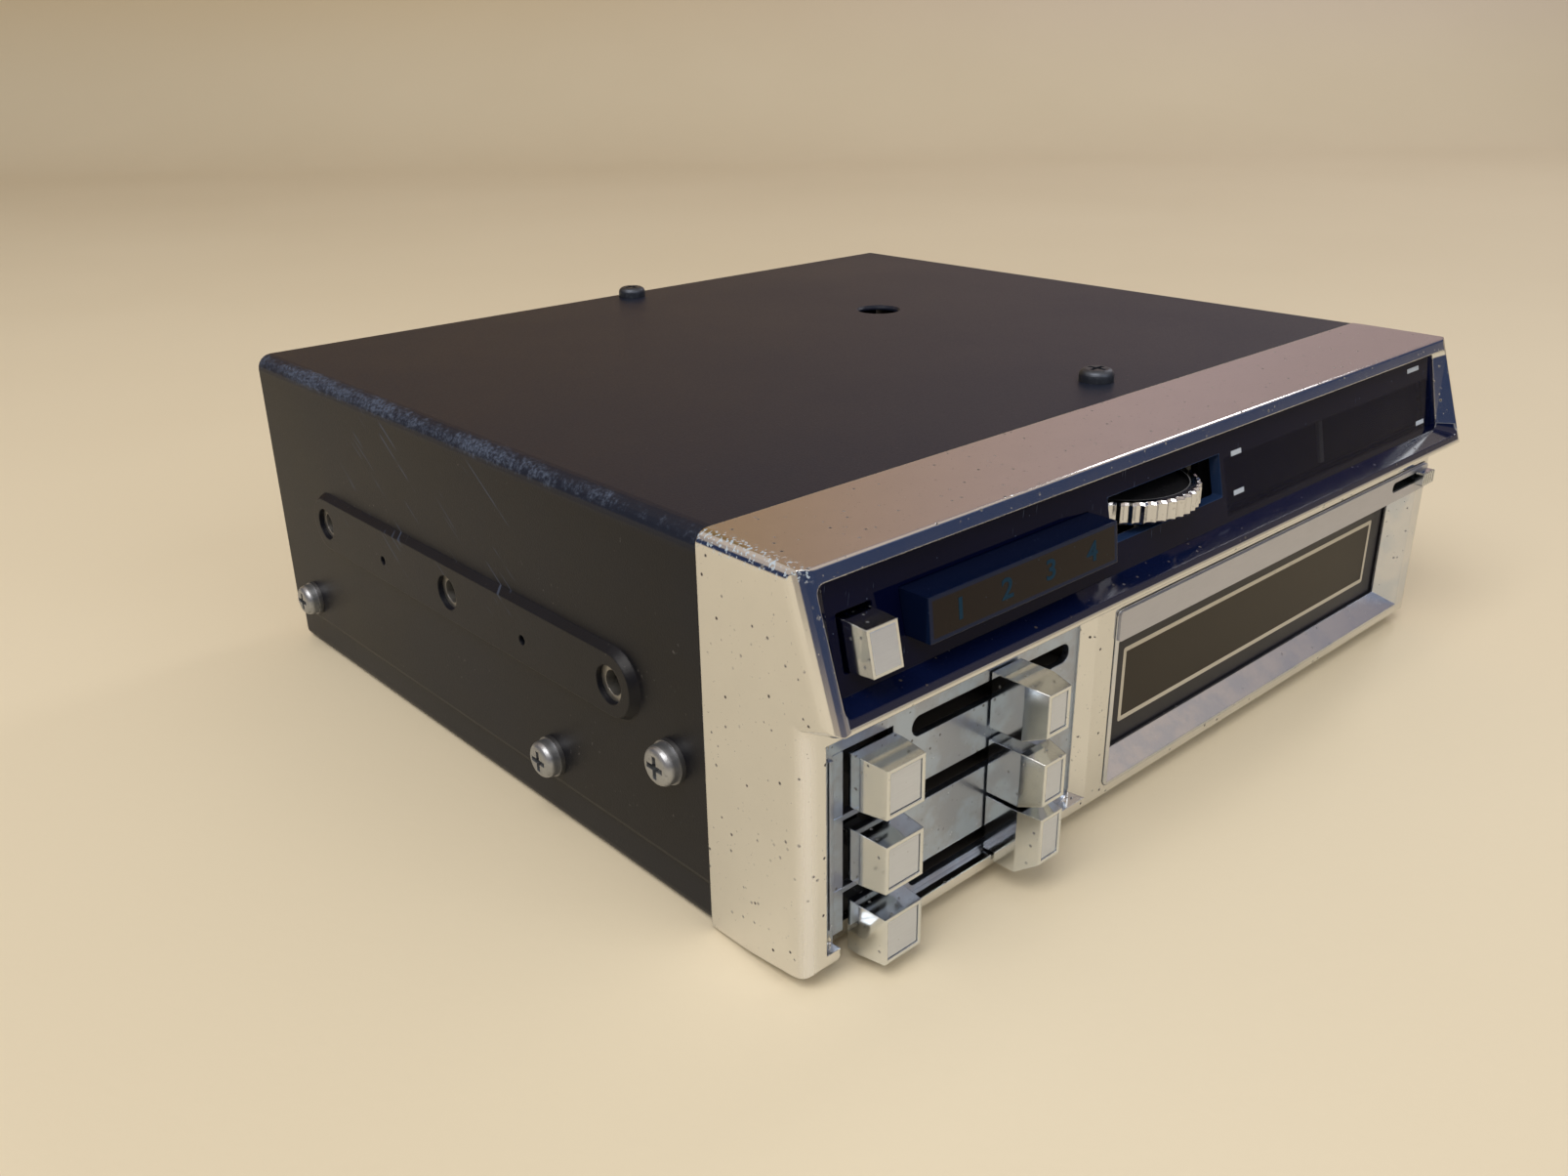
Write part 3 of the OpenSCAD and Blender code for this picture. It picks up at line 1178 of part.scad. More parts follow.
module aerial_socket() color([0.75, 0.75, 0.74]) from_seam() difference() {
    translate([aerial_x, rear_y - 12, aerial_z]) rotate([-90, 0, 0]) rotate_extrude() {
        polygon([[0, 0], [aerial_r + 1.3 - seat, 0], [aerial_r + 1.3 - seat, 12 + sheet_t],
            [aerial_r + 3, 12 + sheet_t], [aerial_r + 3, 13.2 + sheet_t], [aerial_r + 1.2, 13.2 + sheet_t],
            [aerial_r + 1.2, 16 + sheet_t], [0, 16 + sheet_t]]);
    }
    rod_y(rear_y - 10, rear_y + 20, aerial_x, aerial_z, aerial_r);
}

module lead_grommet() color([0.07, 0.07, 0.07]) from_seam() difference() {
    translate([grommet_x, rear_y - 2, grommet_z]) rotate([-90, 0, 0]) rotate_extrude() {
        polygon([[grommet_r, 0], [grommet_r + 3.4, 0], [grommet_r + 3.4, 2], [grommet_r + 2 - seat, 2],
            [grommet_r + 2 - seat, 2 + sheet_t], [grommet_r + 3.4, 2 + sheet_t], [grommet_r + 3, 4 + sheet_t],
            [grommet_r, 4 + sheet_t]]);
    }
}

module heat_sink() color([0.25, 0.25, 0.26]) from_seam() {
    y0 = rear_y + sheet_t;
    pitch = (sink_w - 2) / (fins - 1);
    block([sink_x0, sink_x0 + sink_w], [y0, y0 + 2.5], [sink_z0, sink_z0 + sink_h]);
    for (i = [0:fins - 1]) {
        block([sink_x0 + i * pitch, sink_x0 + i * pitch + 2], [y0, y0 + 2.5 + fin_d], [sink_z0, sink_z0 + sink_h]);
    }
}

// ---- Screws, washers and nuts ----

// A pan-head screw that points down, its seat at the origin, with a cross recess
module pan_screw() difference() {
    rotate_extrude() {
        polygon(concat([[0, -shank_l], [shank_d / 2 - 0.5, -shank_l], [shank_d / 2, -shank_l + 0.5],
            [shank_d / 2, 0]], rounded([[head_d / 2, 0], [head_d / 2, head_h], [0, head_h]], [0, 1.3, 0])));
    }
    for (a = [0, 90]) rotate([0, 0, a]) {
        translate([-1.9, -0.45, head_h - 1.2]) cube([3.8, 0.9, 2]);
    }
}

module split_ring() difference() {
    cylinder(r = head_d / 2 + 0.3, h = washer_t);
    translate([0, 0, -1]) cylinder(r = shank_d / 2 + 0.15, h = washer_t + 2);
    rotate([0, 0, 40]) translate([0, -0.25, -1]) cube([head_d, 0.5, washer_t + 2]);
}

module at_side_screws() both_sides() for (p = screw_places) {
    translate([case_w / 2, p[0], p[1]]) rotate([0, 90, 0]) children();
}

module case_screws() color([0.62, 0.64, 0.66]) from_seam() {
    at_side_screws() translate([0, 0, washer_t]) pan_screw();
    for (p = top_places) translate([p[0], p[1], case_h]) pan_screw();
}

module split_washers() color([0.45, 0.46, 0.48]) from_seam() at_side_screws() split_ring();

module bracket_nuts() color([0.70, 0.70, 0.66]) from_seam() both_sides() {
    for (i = [0:2]) difference() {
        rod_x(nut_x1 - nut_l, nut_x1, pad_y(i), bracket_z, pad_hole_d / 2 + 1.2);
        rod_x(nut_x1 - nut_l - 1, nut_x1 + 1, pad_y(i), bracket_z, bracket_bore / 2);
    }
}

top_cover();
bottom_pan();
rear_panel();
front_moulding();
control_plate();
tape_bezel();
trim_strip();
dial_window();
dial_scale();
dial_chassis();
tuning_wheel();
dial_pins();
idler_pulley();
tuning_cord();
dial_pointer();
pointer_rail();
dial_lamps();
program_indicator();
indicator_housing();
indicator_lamps();
program_button();
program_switch();
stereo_button();
fast_forward_button();
tuner_button();
button_bank();
balance_knob();
tone_knob();
volume_knob();
slide_controls();
local_knob();
local_switch();
tape_door();
door_pin();
door_spring();
cartridge_guide();
deck_plate();
deck_pillars();
capstan_shaft();
capstan_bearing();
flywheel();
drive_motor();
motor_pulley();
drive_belt();
head_post();
head_carriage();
tape_head();
program_cam();
solenoid();
solenoid_plunger();
amplifier_board();
tuner_board();
board_standoffs();
aerial_socket();
lead_grommet();
heat_sink();
case_screws();
split_washers();
bracket_nuts();
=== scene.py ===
# %% [markdown]
# # A car cartridge player, dressed in Blender
#
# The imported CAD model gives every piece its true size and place, in metres. This script adds what a
# drawing cannot hold: paint, plating, smoked plastic, wear, and the thin pieces that lie on a face.
# A model like this could be textured with photographs, but then it would only look right from one side.
# Here each finish is worked out from the position on the piece, so it is right from every side.

import json
import math

import bmesh
import bpy
import numpy as np
from mathutils import Matrix, Vector

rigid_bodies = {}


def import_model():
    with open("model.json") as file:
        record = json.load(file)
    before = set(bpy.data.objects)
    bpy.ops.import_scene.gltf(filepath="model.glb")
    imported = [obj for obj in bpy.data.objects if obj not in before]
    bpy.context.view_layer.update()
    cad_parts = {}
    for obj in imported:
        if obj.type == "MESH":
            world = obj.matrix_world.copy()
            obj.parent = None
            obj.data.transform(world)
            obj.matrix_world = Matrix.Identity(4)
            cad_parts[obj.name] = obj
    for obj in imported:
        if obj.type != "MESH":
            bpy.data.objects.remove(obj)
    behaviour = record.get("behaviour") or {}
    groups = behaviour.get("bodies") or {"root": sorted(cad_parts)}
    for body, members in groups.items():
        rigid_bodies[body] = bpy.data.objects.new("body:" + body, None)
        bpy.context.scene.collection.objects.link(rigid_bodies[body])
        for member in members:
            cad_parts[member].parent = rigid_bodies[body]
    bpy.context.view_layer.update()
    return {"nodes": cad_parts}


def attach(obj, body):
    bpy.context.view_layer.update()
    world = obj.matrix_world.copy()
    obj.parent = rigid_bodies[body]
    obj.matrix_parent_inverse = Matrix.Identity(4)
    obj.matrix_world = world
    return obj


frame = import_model()
nodes = frame["nodes"]
scene = bpy.context.scene
MM = 0.001

# %% [markdown]
# ## Main places
#
# The drawing counts its depth from the seam between the case and the bright front, 74 mm in front of the
# case's middle. The same few sizes are named here in millimetres, because the thin pieces below sit on
# the faces that they describe.

# %% Main places
CASE_W, CASE_D, CASE_H = 188.0, 148.0, 65.5
LEFT, RIGHT = -CASE_W / 2, CASE_W / 2
SEAM_Y = -CASE_D / 2
PAN_EDGE = 8.5
WINDOW_REACH, WINDOW_Z, WINDOW_LEAN = 22.9, 45.4, math.radians(12.5)
DOOR_REACH = 17.0
BUTTON_X, BUTTON_Z, BUTTON_PITCH, BUTTON_REACH = -79.7, 6.9, 12.2, 26.4
KNOB_X, KNOB_REACH = -50.0, 29.7
WHEEL_X, WHEEL_Y, WHEEL_TOP = -12.5, SEAM_Y - 11.0, 56.8


def window_y(z):
    """Front of the dial window at height z: it leans back by the tangent of its lean."""
    return SEAM_Y - WINDOW_REACH + (z - WINDOW_Z) * math.tan(WINDOW_LEAN)


print("window from", round(window_y(47), 2), "to", round(window_y(62), 2))

# %% [markdown]
# ## Shader maths as Python
#
# A finish is a sum of masks: grain, pits, scratches, dust. Blender builds such sums from Math nodes, and
# a long chain of them is hard to read. The small class below wraps the output of a node, and each
# operator adds the Math node that does it, so a mask reads like a formula.


# %% Values
class Value:
    """A number that changes over a surface: the output socket of a node."""

    def __init__(self, nodes_of, socket):
        self.nodes_of, self.socket = nodes_of, socket

    def math(self, operation, *others, clamp=False):
        """Adds the Math node of an operation, such as MULTIPLY, and gives its result."""
        settings = {"operation": operation, "use_clamp": clamp}
        return self.nodes_of.node("ShaderNodeMath", settings, *((self,) + others))

    def __add__(self, other):
        return self.math("ADD", other)

    def __mul__(self, other):
        return self.math("MULTIPLY", other)

    def __sub__(self, other):
        return self.math("SUBTRACT", other)

    def __rsub__(self, other):
        return (self * -1.0) + other

    def __abs__(self):
        return self.math("ABSOLUTE")

    __radd__ = __add__
    __rmul__ = __mul__

    def most(self, other):
        """The larger of the two, so that two masks join without adding up."""
        return self.math("MAXIMUM", other)

    def clamped(self):
        """The same number, kept between 0 and 1."""
        return self.math("ADD", 0.0, clamp=True)

    def root(self):
        """The square root."""
        return self.math("SQRT")

    def wave(self, length):
        """A sine from 0 to 1 that repeats every length."""
        return (self * (2 * math.pi / length)).math("SINE") * 0.5 + 0.5

    def rises(self, low, high):
        """0 below low, 1 above high, and a smooth step between them."""
        settings = {"interpolation_type": "SMOOTHSTEP"}
        return self.nodes_of.node("ShaderNodeMapRange", settings, self, low, high, 0.0, 1.0)

    def falls(self, low, high):
        """1 below low, 0 above high, and a smooth step between them."""
        return 1 - self.rises(low, high)

    def inside(self, low, high, soft):
        """1 between low and high, with edges that fade over soft."""
        return self.rises(low - soft, low + soft) * self.falls(high - soft, high + soft)


# %% Node trees
class Tree:
    """A node tree of a material or of the world, with one method that adds any node."""

    def __init__(self, tree):
        self.tree = tree
        self.tree.nodes.clear()

    def node(self, kind, settings=None, *inputs):
        """Adds a node: its settings first, then its inputs in order, or by name after "in:"."""
        made = self.tree.nodes.new(kind)
        for name, value in (settings or {}).items():
            if not name.startswith("in:"):
                setattr(made, name, value)
        named = {k[3:]: v for k, v in (settings or {}).items() if k.startswith("in:")}
        if kind == "ShaderNodeMix":
            sockets = [s for s in made.inputs if s.enabled]
        else:
            sockets = list(made.inputs)
        pairs = list(zip(sockets, inputs)) + [(made.inputs[k], v) for k, v in named.items()]
        for socket, value in pairs:
            self.feed(socket, value)
        outputs = [s for s in made.outputs if s.enabled]
        return Value(self, outputs[0])

    def feed(self, socket, value):
        """Links a value to a socket, or sets a plain number or colour on it."""
        if isinstance(value, Value):
            value = value.socket
        if isinstance(value, bpy.types.NodeSocket):
            self.tree.links.new(value, socket)
        elif isinstance(value, (tuple, list)) and len(value) == 3 and socket.type == "RGBA":
            socket.default_value = (*value, 1.0)
        elif value is not None:
            socket.default_value = value

    def split(self, vector):
        """The X, Y and Z of a vector."""
        parts = self.node("ShaderNodeSeparateXYZ", None, vector).socket.node
        return [Value(self, parts.outputs[i]) for i in range(3)]

    def mix(self, mask, low, high):
        """The colour low where mask is 0 and high where it is 1."""
        return self.node("ShaderNodeMix", {"data_type": "RGBA"}, mask, low, high)

    def ray_is(self, kind):
        """1 for rays of a kind, such as Camera or Glossy: for the world only."""
        made = self.tree.nodes.new("ShaderNodeLightPath")
        return Value(self, made.outputs[f"Is {kind} Ray"])


# %% Finishes
COAT_ROUGHNESS = 0.05


class Finish(Tree):
    """One material: a Principled shader whose sockets are fed by values."""

    def __init__(self, name, metallic=0.0, ior=1.5, coat=0.0, edge=0.0, specular=0.5):
        """These numbers are the same all over; edge is the radius, in millimetres, that softens edges."""
        self.material = bpy.data.materials.new(name)
        self.material.use_nodes = True
        super().__init__(self.material.node_tree)
        out = self.tree.nodes.new("ShaderNodeOutputMaterial")
        self.shader = self.tree.nodes.new("ShaderNodeBsdfPrincipled")
        self.tree.links.new(self.shader.outputs["BSDF"], out.inputs["Surface"])
        self.shader.inputs["Metallic"].default_value = metallic
        self.shader.inputs["IOR"].default_value = ior
        self.shader.inputs["Specular IOR Level"].default_value = specular
        self.shader.inputs["Coat Weight"].default_value = coat
        self.shader.inputs["Coat Roughness"].default_value = COAT_ROUGHNESS
        place = self.tree.nodes.new("ShaderNodeTexCoord").outputs["Object"]
        scaled = self.node("ShaderNodeVectorMath", {"operation": "SCALE", "in:Scale": 1 / MM}, place)
        self.place = scaled
        self.x, self.y, self.z = self.split(scaled)
        self.edge = edge

    def moved(self, turn=(0, 0, 0), scale=(1, 1, 1)):
        """The place in millimetres, first turned and then scaled on each axis, for a pattern."""
        turned = self.node("ShaderNodeMapping", {"vector_type": "POINT", "in:Rotation": turn}, self.place)
        return self.node("ShaderNodeMapping", {"vector_type": "POINT", "in:Scale": scale}, turned)

    def noise(self, size, detail=2.0, rough=0.5, place=None):
        """Soft noise from 0 to 1 whose lumps are size millimetres across."""
        where = self.place if place is None else place
        settings = {"in:Vector": where, "in:Scale": 1 / size, "in:Detail": detail, "in:Roughness": rough}
        return self.node("ShaderNodeTexNoise", settings)

    def cells(self, size, place=None):
        """Distance to the nearest of many scattered points that are size millimetres apart."""
        where = self.place if place is None else place
        return self.node("ShaderNodeTexVoronoi", {"feature": "F1", "in:Vector": where, "in:Scale": 1 / size})

    def bump(self, height, depth, strength=1.0):
        """A normal from a height of 0 to 1, depth millimetres deep, over softly rounded edges."""
        settings = {"in:Strength": strength, "in:Distance": depth * MM, "in:Height": height}
        if self.edge:
            settings["in:Normal"] = self.node("ShaderNodeBevel", {"samples": 4, "in:Radius": self.edge * MM})
        return self.node("ShaderNodeBump", settings)

    def set(self, **sockets):
        """Feeds the shader's sockets; an underscore stands for the space in a socket's name."""
        for name, value in sockets.items():
            self.feed(self.shader.inputs[name.replace("_", " ")], value)
        return self


def tint_times(tint, factor):
    """A colour made darker or lighter, each part times the factor and at most 1."""
    return tuple(min(1.0, c * factor) for c in tint)


def paint(names, finish):
    """Gives a finish to CAD nodes or new pieces."""
    for name in names:
        piece = nodes.get(name) or bpy.data.objects[name]
        piece.data.materials.clear()
        piece.data.materials.append(finish.material)
    print(finish.material.name, "on", ", ".join(names))


# %% [markdown]
# ## Black case paint
#
# The case is sheet steel with satin black paint, baked to a fine grain. Years in a dashboard have rubbed
# the left upper edge and scratched the side below it; the bluish grey of these worn marks is a painted
# reflection of the blue room. Pale dust lies on the top, and the side walls are painted darker and browner
# than the top as painted shade. Grain is a noise of a third of a millimetre; wear is a wide noise that only
# counts close to an edge.


# %% Case paint
def case_paint(name, tint):
    """Black paint. Chips: a ragged noise times the nearness to the upper left edge, above a threshold,
    and powdered by a finer noise. Scratches: a noise stretched along a slanted line, cut to its crests.
    Both are worn marks coloured a bluish grey, a painted reflection of the blue room. The upright side
    walls are painted darker and browner than the top, as painted shade, and a dark line marks the seam
    over the pan."""
    f = Finish(name, ior=1.45, edge=0.4, specular=0.26)
    grain = f.noise(0.32, detail=3.0)
    cloud = f.noise(38.0, detail=4.0)
    edge = f.x.falls(LEFT + 0.5, LEFT + 8.0) * f.z.rises(CASE_H - 7.0, CASE_H - 1.0)
    ragged = f.noise(2.2, detail=8.0, rough=0.8) * 0.6 + f.noise(19.0, detail=2.0) * 0.4
    powder = f.noise(0.55, detail=4.0, rough=0.7).rises(0.35, 0.62)
    # Chips on the upper left edge: wear in shape, and their colour below is a painted reflection.
    chipped_and_sheen = (ragged * edge).rises(0.42, 0.58) * powder
    strokes = f.moved(turn=(math.radians(-36), 0, 0), scale=(0.3, 0.085, 2.6))
    scratch = f.noise(1.9, detail=1.0, place=strokes).rises(0.66, 0.70)
    side = f.x.falls(LEFT + 0.4, LEFT + 1.2) * f.z.rises(26.0, 40.0) * f.y.inside(-25.0, 35.0, 8.0)
    scratch = scratch * f.noise(12.0).rises(0.46, 0.56) * side
    dust = f.noise(0.9, detail=1.0).rises(0.73, 0.80) * f.noise(9.0).rises(0.45, 0.7)
    worn_and_sheen = chipped_and_sheen.most(scratch * 0.6)
    # Painted shade: the upright side walls get a darker, browner colour than the top.
    shaded_wall = abs(f.x).rises(RIGHT - 0.9, RIGHT - 0.2) * f.z.falls(CASE_H - 4.0, CASE_H - 2.0)
    colour = f.mix(shaded_wall, tint, (0.0035, 0.0027, 0.0020))
    colour = f.mix(cloud * 0.6, colour, tint_times(tint, 1.3))
    # Painted reflection: the bluish grey on the worn marks stands for the blue room mirrored on that edge.
    colour = f.mix(worn_and_sheen * 0.8, colour, (0.085, 0.110, 0.170))
    colour = f.mix(dust * 0.35, colour, (0.20, 0.19, 0.18))
    rough = 0.30 + grain * 0.12 + cloud * 0.08 + worn_and_sheen * 0.16
    seam = f.z.inside(PAN_EDGE - 0.7, PAN_EDGE + 0.3, 0.3)
    return f.set(Base_Color=colour, Roughness=rough, Normal=f.bump(grain + worn_and_sheen * 0.5 - seam * 7, 0.04, 0.5))


paint(["top_cover"], case_paint("case_black", (0.0080, 0.0110, 0.0220)))
paint(["bottom_pan"], case_paint("pan_black", (0.0070, 0.0080, 0.0125)))

# %% [markdown]
# ## Bright plating
#
# The front is moulded plastic under a thin layer of chrome. A mirror finish alone looks like a toy: real
# plating of this age has fine pits where it has lifted, a haze of small marks, and a slow waviness that
# bends the reflections. The pits are the centres of scattered cells, cut small and uneven by a noise.
# Every edge is rounded by a Bevel node, so that it catches a thin line of light.


# %% Plating
FRONT_HALF = 93.0
CORNER_REACH = 18.9
LIP_Z, LIP_REACH = (44.7, 47.8), 22.4
CHIP_SHEEN_X, CHIP_SHEEN_Z = -92.0, 63.0


def plating(name, tint=(0.76, 0.765, 0.765), rough=0.075, pits=1.0, wave=1.0, edge=0.25, film_and_sheen=0.0):
    """Chrome on plastic; film_and_sheen is how much a cloudy film lies over the mirror, with a slight blue
    that is a painted reflection of the blue room. The lower front upright corners carry a pale painted
    highlight, the upper left edge has chips with a pale blue painted sheen, and the lip under the dial
    is given a dark blue, non-metallic colour."""
    f = Finish(name, metallic=1.0, edge=edge, coat=0.5 if film_and_sheen else 0.0)
    sparse = f.noise(14.0, detail=3.0)
    pit = f.cells(2.0).falls(0.08, 0.17) * f.noise(2.6).rises(0.43, 0.55) * sparse.rises(0.34, 0.50)
    fine = f.cells(0.7).falls(0.06, 0.20) * f.noise(1.2).rises(0.54, 0.64)
    marks = (pit + fine * 0.5).clamped() * pits
    # Painted highlight: a pale, duller patch on the lower front upright corners.
    corner = abs(f.x).rises(FRONT_HALF - 1.6, FRONT_HALF) * f.z.falls(41.0, 43.5)
    corner = corner * f.y.falls(SEAM_Y - CORNER_REACH - 1.9, SEAM_Y - CORNER_REACH)
    corner_highlight = corner * (0.5 + f.noise(5.0, detail=4.0) * 0.4)
    lip = f.z.inside(*LIP_Z, 0.1) * f.y.falls(SEAM_Y - LIP_REACH - 0.3, SEAM_Y - LIP_REACH)
    lip = lip * abs(f.x).falls(FRONT_HALF - 2.0, FRONT_HALF - 1.6)
    # Chips on the upper left edge: wear in shape, with a pale blue painted sheen as their colour.
    chips_and_sheen = f.z.rises(CHIP_SHEEN_Z, CHIP_SHEEN_Z + 1.4) * f.x.falls(CHIP_SHEEN_X, CHIP_SHEEN_X + 1.4)
    chips_and_sheen = chips_and_sheen * f.noise(0.55, detail=5.0).rises(0.54, 0.62)
    specks = f.cells(0.9).falls(0.05, 0.16) * f.noise(1.6, detail=3.0).rises(0.55, 0.66)
    haze = f.noise(7.0, detail=5.0, rough=0.6)
    colour = f.mix(haze, tint, tint_times(tint, 0.92))
    # Painted reflection: the film's blue stands for the blue room mirrored in the plating.
    colour = f.mix(haze.rises(0.42, 0.64) * film_and_sheen, colour, (0.42, 0.52, 0.68))
    colour = f.mix(corner_highlight * 0.7, colour, (0.86, 0.85, 0.84))
    colour = f.mix(chips_and_sheen * 0.9, colour, (0.50, 0.62, 0.74))
    colour = f.mix(lip, colour, (0.0030, 0.0060, 0.0300))
    colour = f.mix(marks, colour, (0.060, 0.050, 0.045))
    colour = f.mix(specks * film_and_sheen, colour, (0.80, 0.84, 0.92))
    swell = f.noise(16.0, detail=1.0) * 0.6 * wave
    dull = rough + haze * 0.08 + marks * 0.35 + film_and_sheen * 0.22 + corner_highlight * 0.3
    metal = 1 - marks * 0.6 - specks * film_and_sheen * 0.8 - corner_highlight * 0.3 - chips_and_sheen * 0.7 - lip
    relief = swell - marks * 0.25 + haze * film_and_sheen * 0.2
    return f.set(Base_Color=colour, Roughness=dull, Metallic=metal.clamped(),
                 Normal=f.bump(relief, 0.22, 0.35))


paint(["front_moulding"], plating("bright_plating"))
paint(["tape_bezel"], plating("bezel_plating", tint=(0.68, 0.70, 0.75), rough=0.10, pits=0.6, film_and_sheen=0.35))
# The control plate's blue tint is a painted reflection of the blue room; the plate itself is grey.
plate_plating = plating("control_plating", tint=(0.36, 0.40, 0.50), rough=0.10, pits=0.8, film_and_sheen=0.8)
paint(["control_plate"], plate_plating)
buttons = ["stereo_button", "fast_forward_button", "tuner_button"]
knobs = ["balance_knob", "tone_knob", "volume_knob"]
paint(buttons + knobs + ["program_button", "local_knob"],
      plating("button_plating", tint=(0.74, 0.77, 0.79), rough=0.05, pits=0.7, wave=0.5, edge=0.22,
              film_and_sheen=0.12))


# %% [markdown]
# ## Thumbwheel
#
# The tuning wheel is plated round its flutes, while its top is a smooth dark disc let into the rim. One
# finish does both: the distance from the wheel's axis tells the disc from the rim.


# %% Wheel plating
DISC_RADIUS, DISC_DROP = 12.2, 1.4


def wheel_plating():
    """Distance from the axis is the root of the sum of squares; inside the disc's radius and near the
    top the plating gives way to dark plastic with fine turned rings."""
    f = Finish("wheel_plating", metallic=1.0, edge=0.15)
    across, along = f.x - WHEEL_X, f.y - WHEEL_Y
    radius = (across * across + along * along).root()
    flat_top = f.z.rises(WHEEL_TOP - DISC_DROP, WHEEL_TOP - DISC_DROP + 0.4)
    disc = radius.falls(DISC_RADIUS, DISC_RADIUS + 0.3) * flat_top
    haze = f.noise(5.0, detail=5.0)
    dirt = f.noise(0.8, detail=2.0).rises(0.6, 0.75) * (1 - disc)
    colour = f.mix(haze, (0.70, 0.71, 0.74), (0.60, 0.61, 0.64))
    colour = f.mix(dirt * 0.35, colour, (0.12, 0.11, 0.10))
    colour = f.mix(disc, colour, (0.012, 0.012, 0.014))
    rings = radius.wave(0.5) * disc
    return f.set(Base_Color=colour, Metallic=1 - disc, Roughness=0.10 + haze * 0.08 + disc * 0.14,
                 Normal=f.bump(rings * 0.3 + haze * 0.4, 0.05, 0.5))


paint(["tuning_wheel"], wheel_plating())

# %% [markdown]
# ## Smoked plastic
#
# The dial window and the indicator are clear plastic smoked almost black. Glass shading would let light
# in and out of the case and need many samples; a nearly opaque gloss with a clearer band over the scale
# shows the same: a deep black that mirrors the room, with the pointer dim behind it.


# %% Smoked plastic
SCALE_X, SCALE_Z = (6.5, 87.0), (47.8, 57.6)
OPENING_X, OPENING_Z = (-27.6, 5.1), (51.3, 58.9)
INDICATOR_REACH = 25.1
INDICATOR_X, INDICATOR_Z = (-74.6, -33.4), (51.8, 57.2)


def dial_smoke():
    """Near black gloss with slow swirls, hair scratches and dust. The band over the scale lets some
    light through, and the walls of the wheel's opening are a clearer blue."""
    f = Finish("dial_smoke", ior=1.42, edge=0.15, specular=0.10)
    swirl = f.noise(22.0, detail=3.0)
    hair = f.moved(turn=(0, math.radians(70), 0), scale=(0.3, 1.0, 5.0))
    hair = f.noise(1.3, detail=1.0, place=hair).rises(0.71, 0.75) * f.noise(9.0).rises(0.5, 0.6)
    dust = f.cells(1.1).falls(0.03, 0.11) * f.noise(1.7).rises(0.57, 0.65)
    band = f.x.inside(*SCALE_X, 0.6) * f.z.inside(*SCALE_Z, 0.4)
    hole = f.x.inside(*OPENING_X, 0.02) * f.z.inside(*OPENING_Z, 0.02)
    # Painted reflection: the dark blue in these near-black colours stands for the blue sheen of the room on
    # the window.
    colour = f.mix(swirl, (0.0008, 0.0018, 0.0130), (0.0016, 0.0026, 0.0190))
    colour = f.mix(hole, colour, (0.014, 0.030, 0.080))
    colour = f.mix((dust + hair * 0.4).clamped() * 0.6, colour, (0.18, 0.23, 0.36))
    return f.set(Base_Color=colour, Alpha=1 - band * 0.4, Roughness=0.045 + hair * 0.25 + dust * 0.3,
                 Normal=f.bump(swirl, 0.05, 0.25))


def indicator_smoke():
    """Dark blue on its sides and brown in front, where a thin blue rim goes round the face."""
    f = Finish("indicator_smoke", ior=1.42, edge=0.2, specular=0.18)
    swirl = f.noise(12.0, detail=3.0)
    dust = f.cells(0.9).falls(0.03, 0.11) * f.noise(1.4).rises(0.55, 0.63)
    face = f.y.falls(SEAM_Y - INDICATOR_REACH - 0.3, SEAM_Y - INDICATOR_REACH)
    rim = face * (1 - f.x.inside(*INDICATOR_X, 0.15) * f.z.inside(*INDICATOR_Z, 0.15))
    colour = f.mix(face, (0.0015, 0.0045, 0.0200), (0.0110, 0.0065, 0.0045))
    colour = f.mix(swirl * 0.3, colour, (0.0040, 0.0050, 0.0150))
    colour = f.mix(rim * 0.8, colour, (0.0020, 0.0100, 0.0400))
    colour = f.mix(dust * 0.5, colour, (0.14, 0.18, 0.26))
    return f.set(Base_Color=colour, Roughness=0.07 + dust * 0.3 + swirl * 0.04,
                 Normal=f.bump(swirl, 0.05, 0.3))


paint(["dial_window"], dial_smoke())
paint(["program_indicator"], indicator_smoke())

# %% [markdown]
# ## Scale and pointer
#
# Behind the window stands a matt black plate with fine pale division marks, and a light pointer runs in
# front of it. The marks are made by the finish: a sine along X cut to thin lines, in two rows.


# %% Scale and pointer
FINE_STEP, COARSE_STEP, COARSE_START = 2.5, 12.5, 7.5
UPPER_ROW, LOWER_ROW = (54.6, 55.8), (50.2, 51.4)
UPPER_TALL, LOWER_TALL = (54.6, 57.0), (49.0, 51.4)
SCALE_ENDS = (14.0, 80.0)


def scale_print():
    """Marks: a sine along X cut to its crests, fine ones in two rows and taller ones at every fifth."""
    f = Finish("scale_print", ior=1.4, specular=0.05)
    fine = f.x.wave(FINE_STEP).rises(0.985, 0.995)
    coarse = (f.x - COARSE_START).wave(COARSE_STEP).rises(0.9985, 0.9995)
    short = f.z.inside(*UPPER_ROW, 0.05).most(f.z.inside(*LOWER_ROW, 0.05))
    tall = f.z.inside(*UPPER_TALL, 0.05).most(f.z.inside(*LOWER_TALL, 0.05))
    ticks = (fine * short).most(coarse * tall) * f.x.inside(*SCALE_ENDS, 0.1)
    grain = f.noise(0.3)
    colour = f.mix(ticks * 0.35, (0.0020, 0.0022, 0.0035), (0.12, 0.16, 0.24))
    return f.set(Base_Color=colour, Roughness=0.6 + grain * 0.2, Normal=f.bump(grain, 0.005, 0.2))


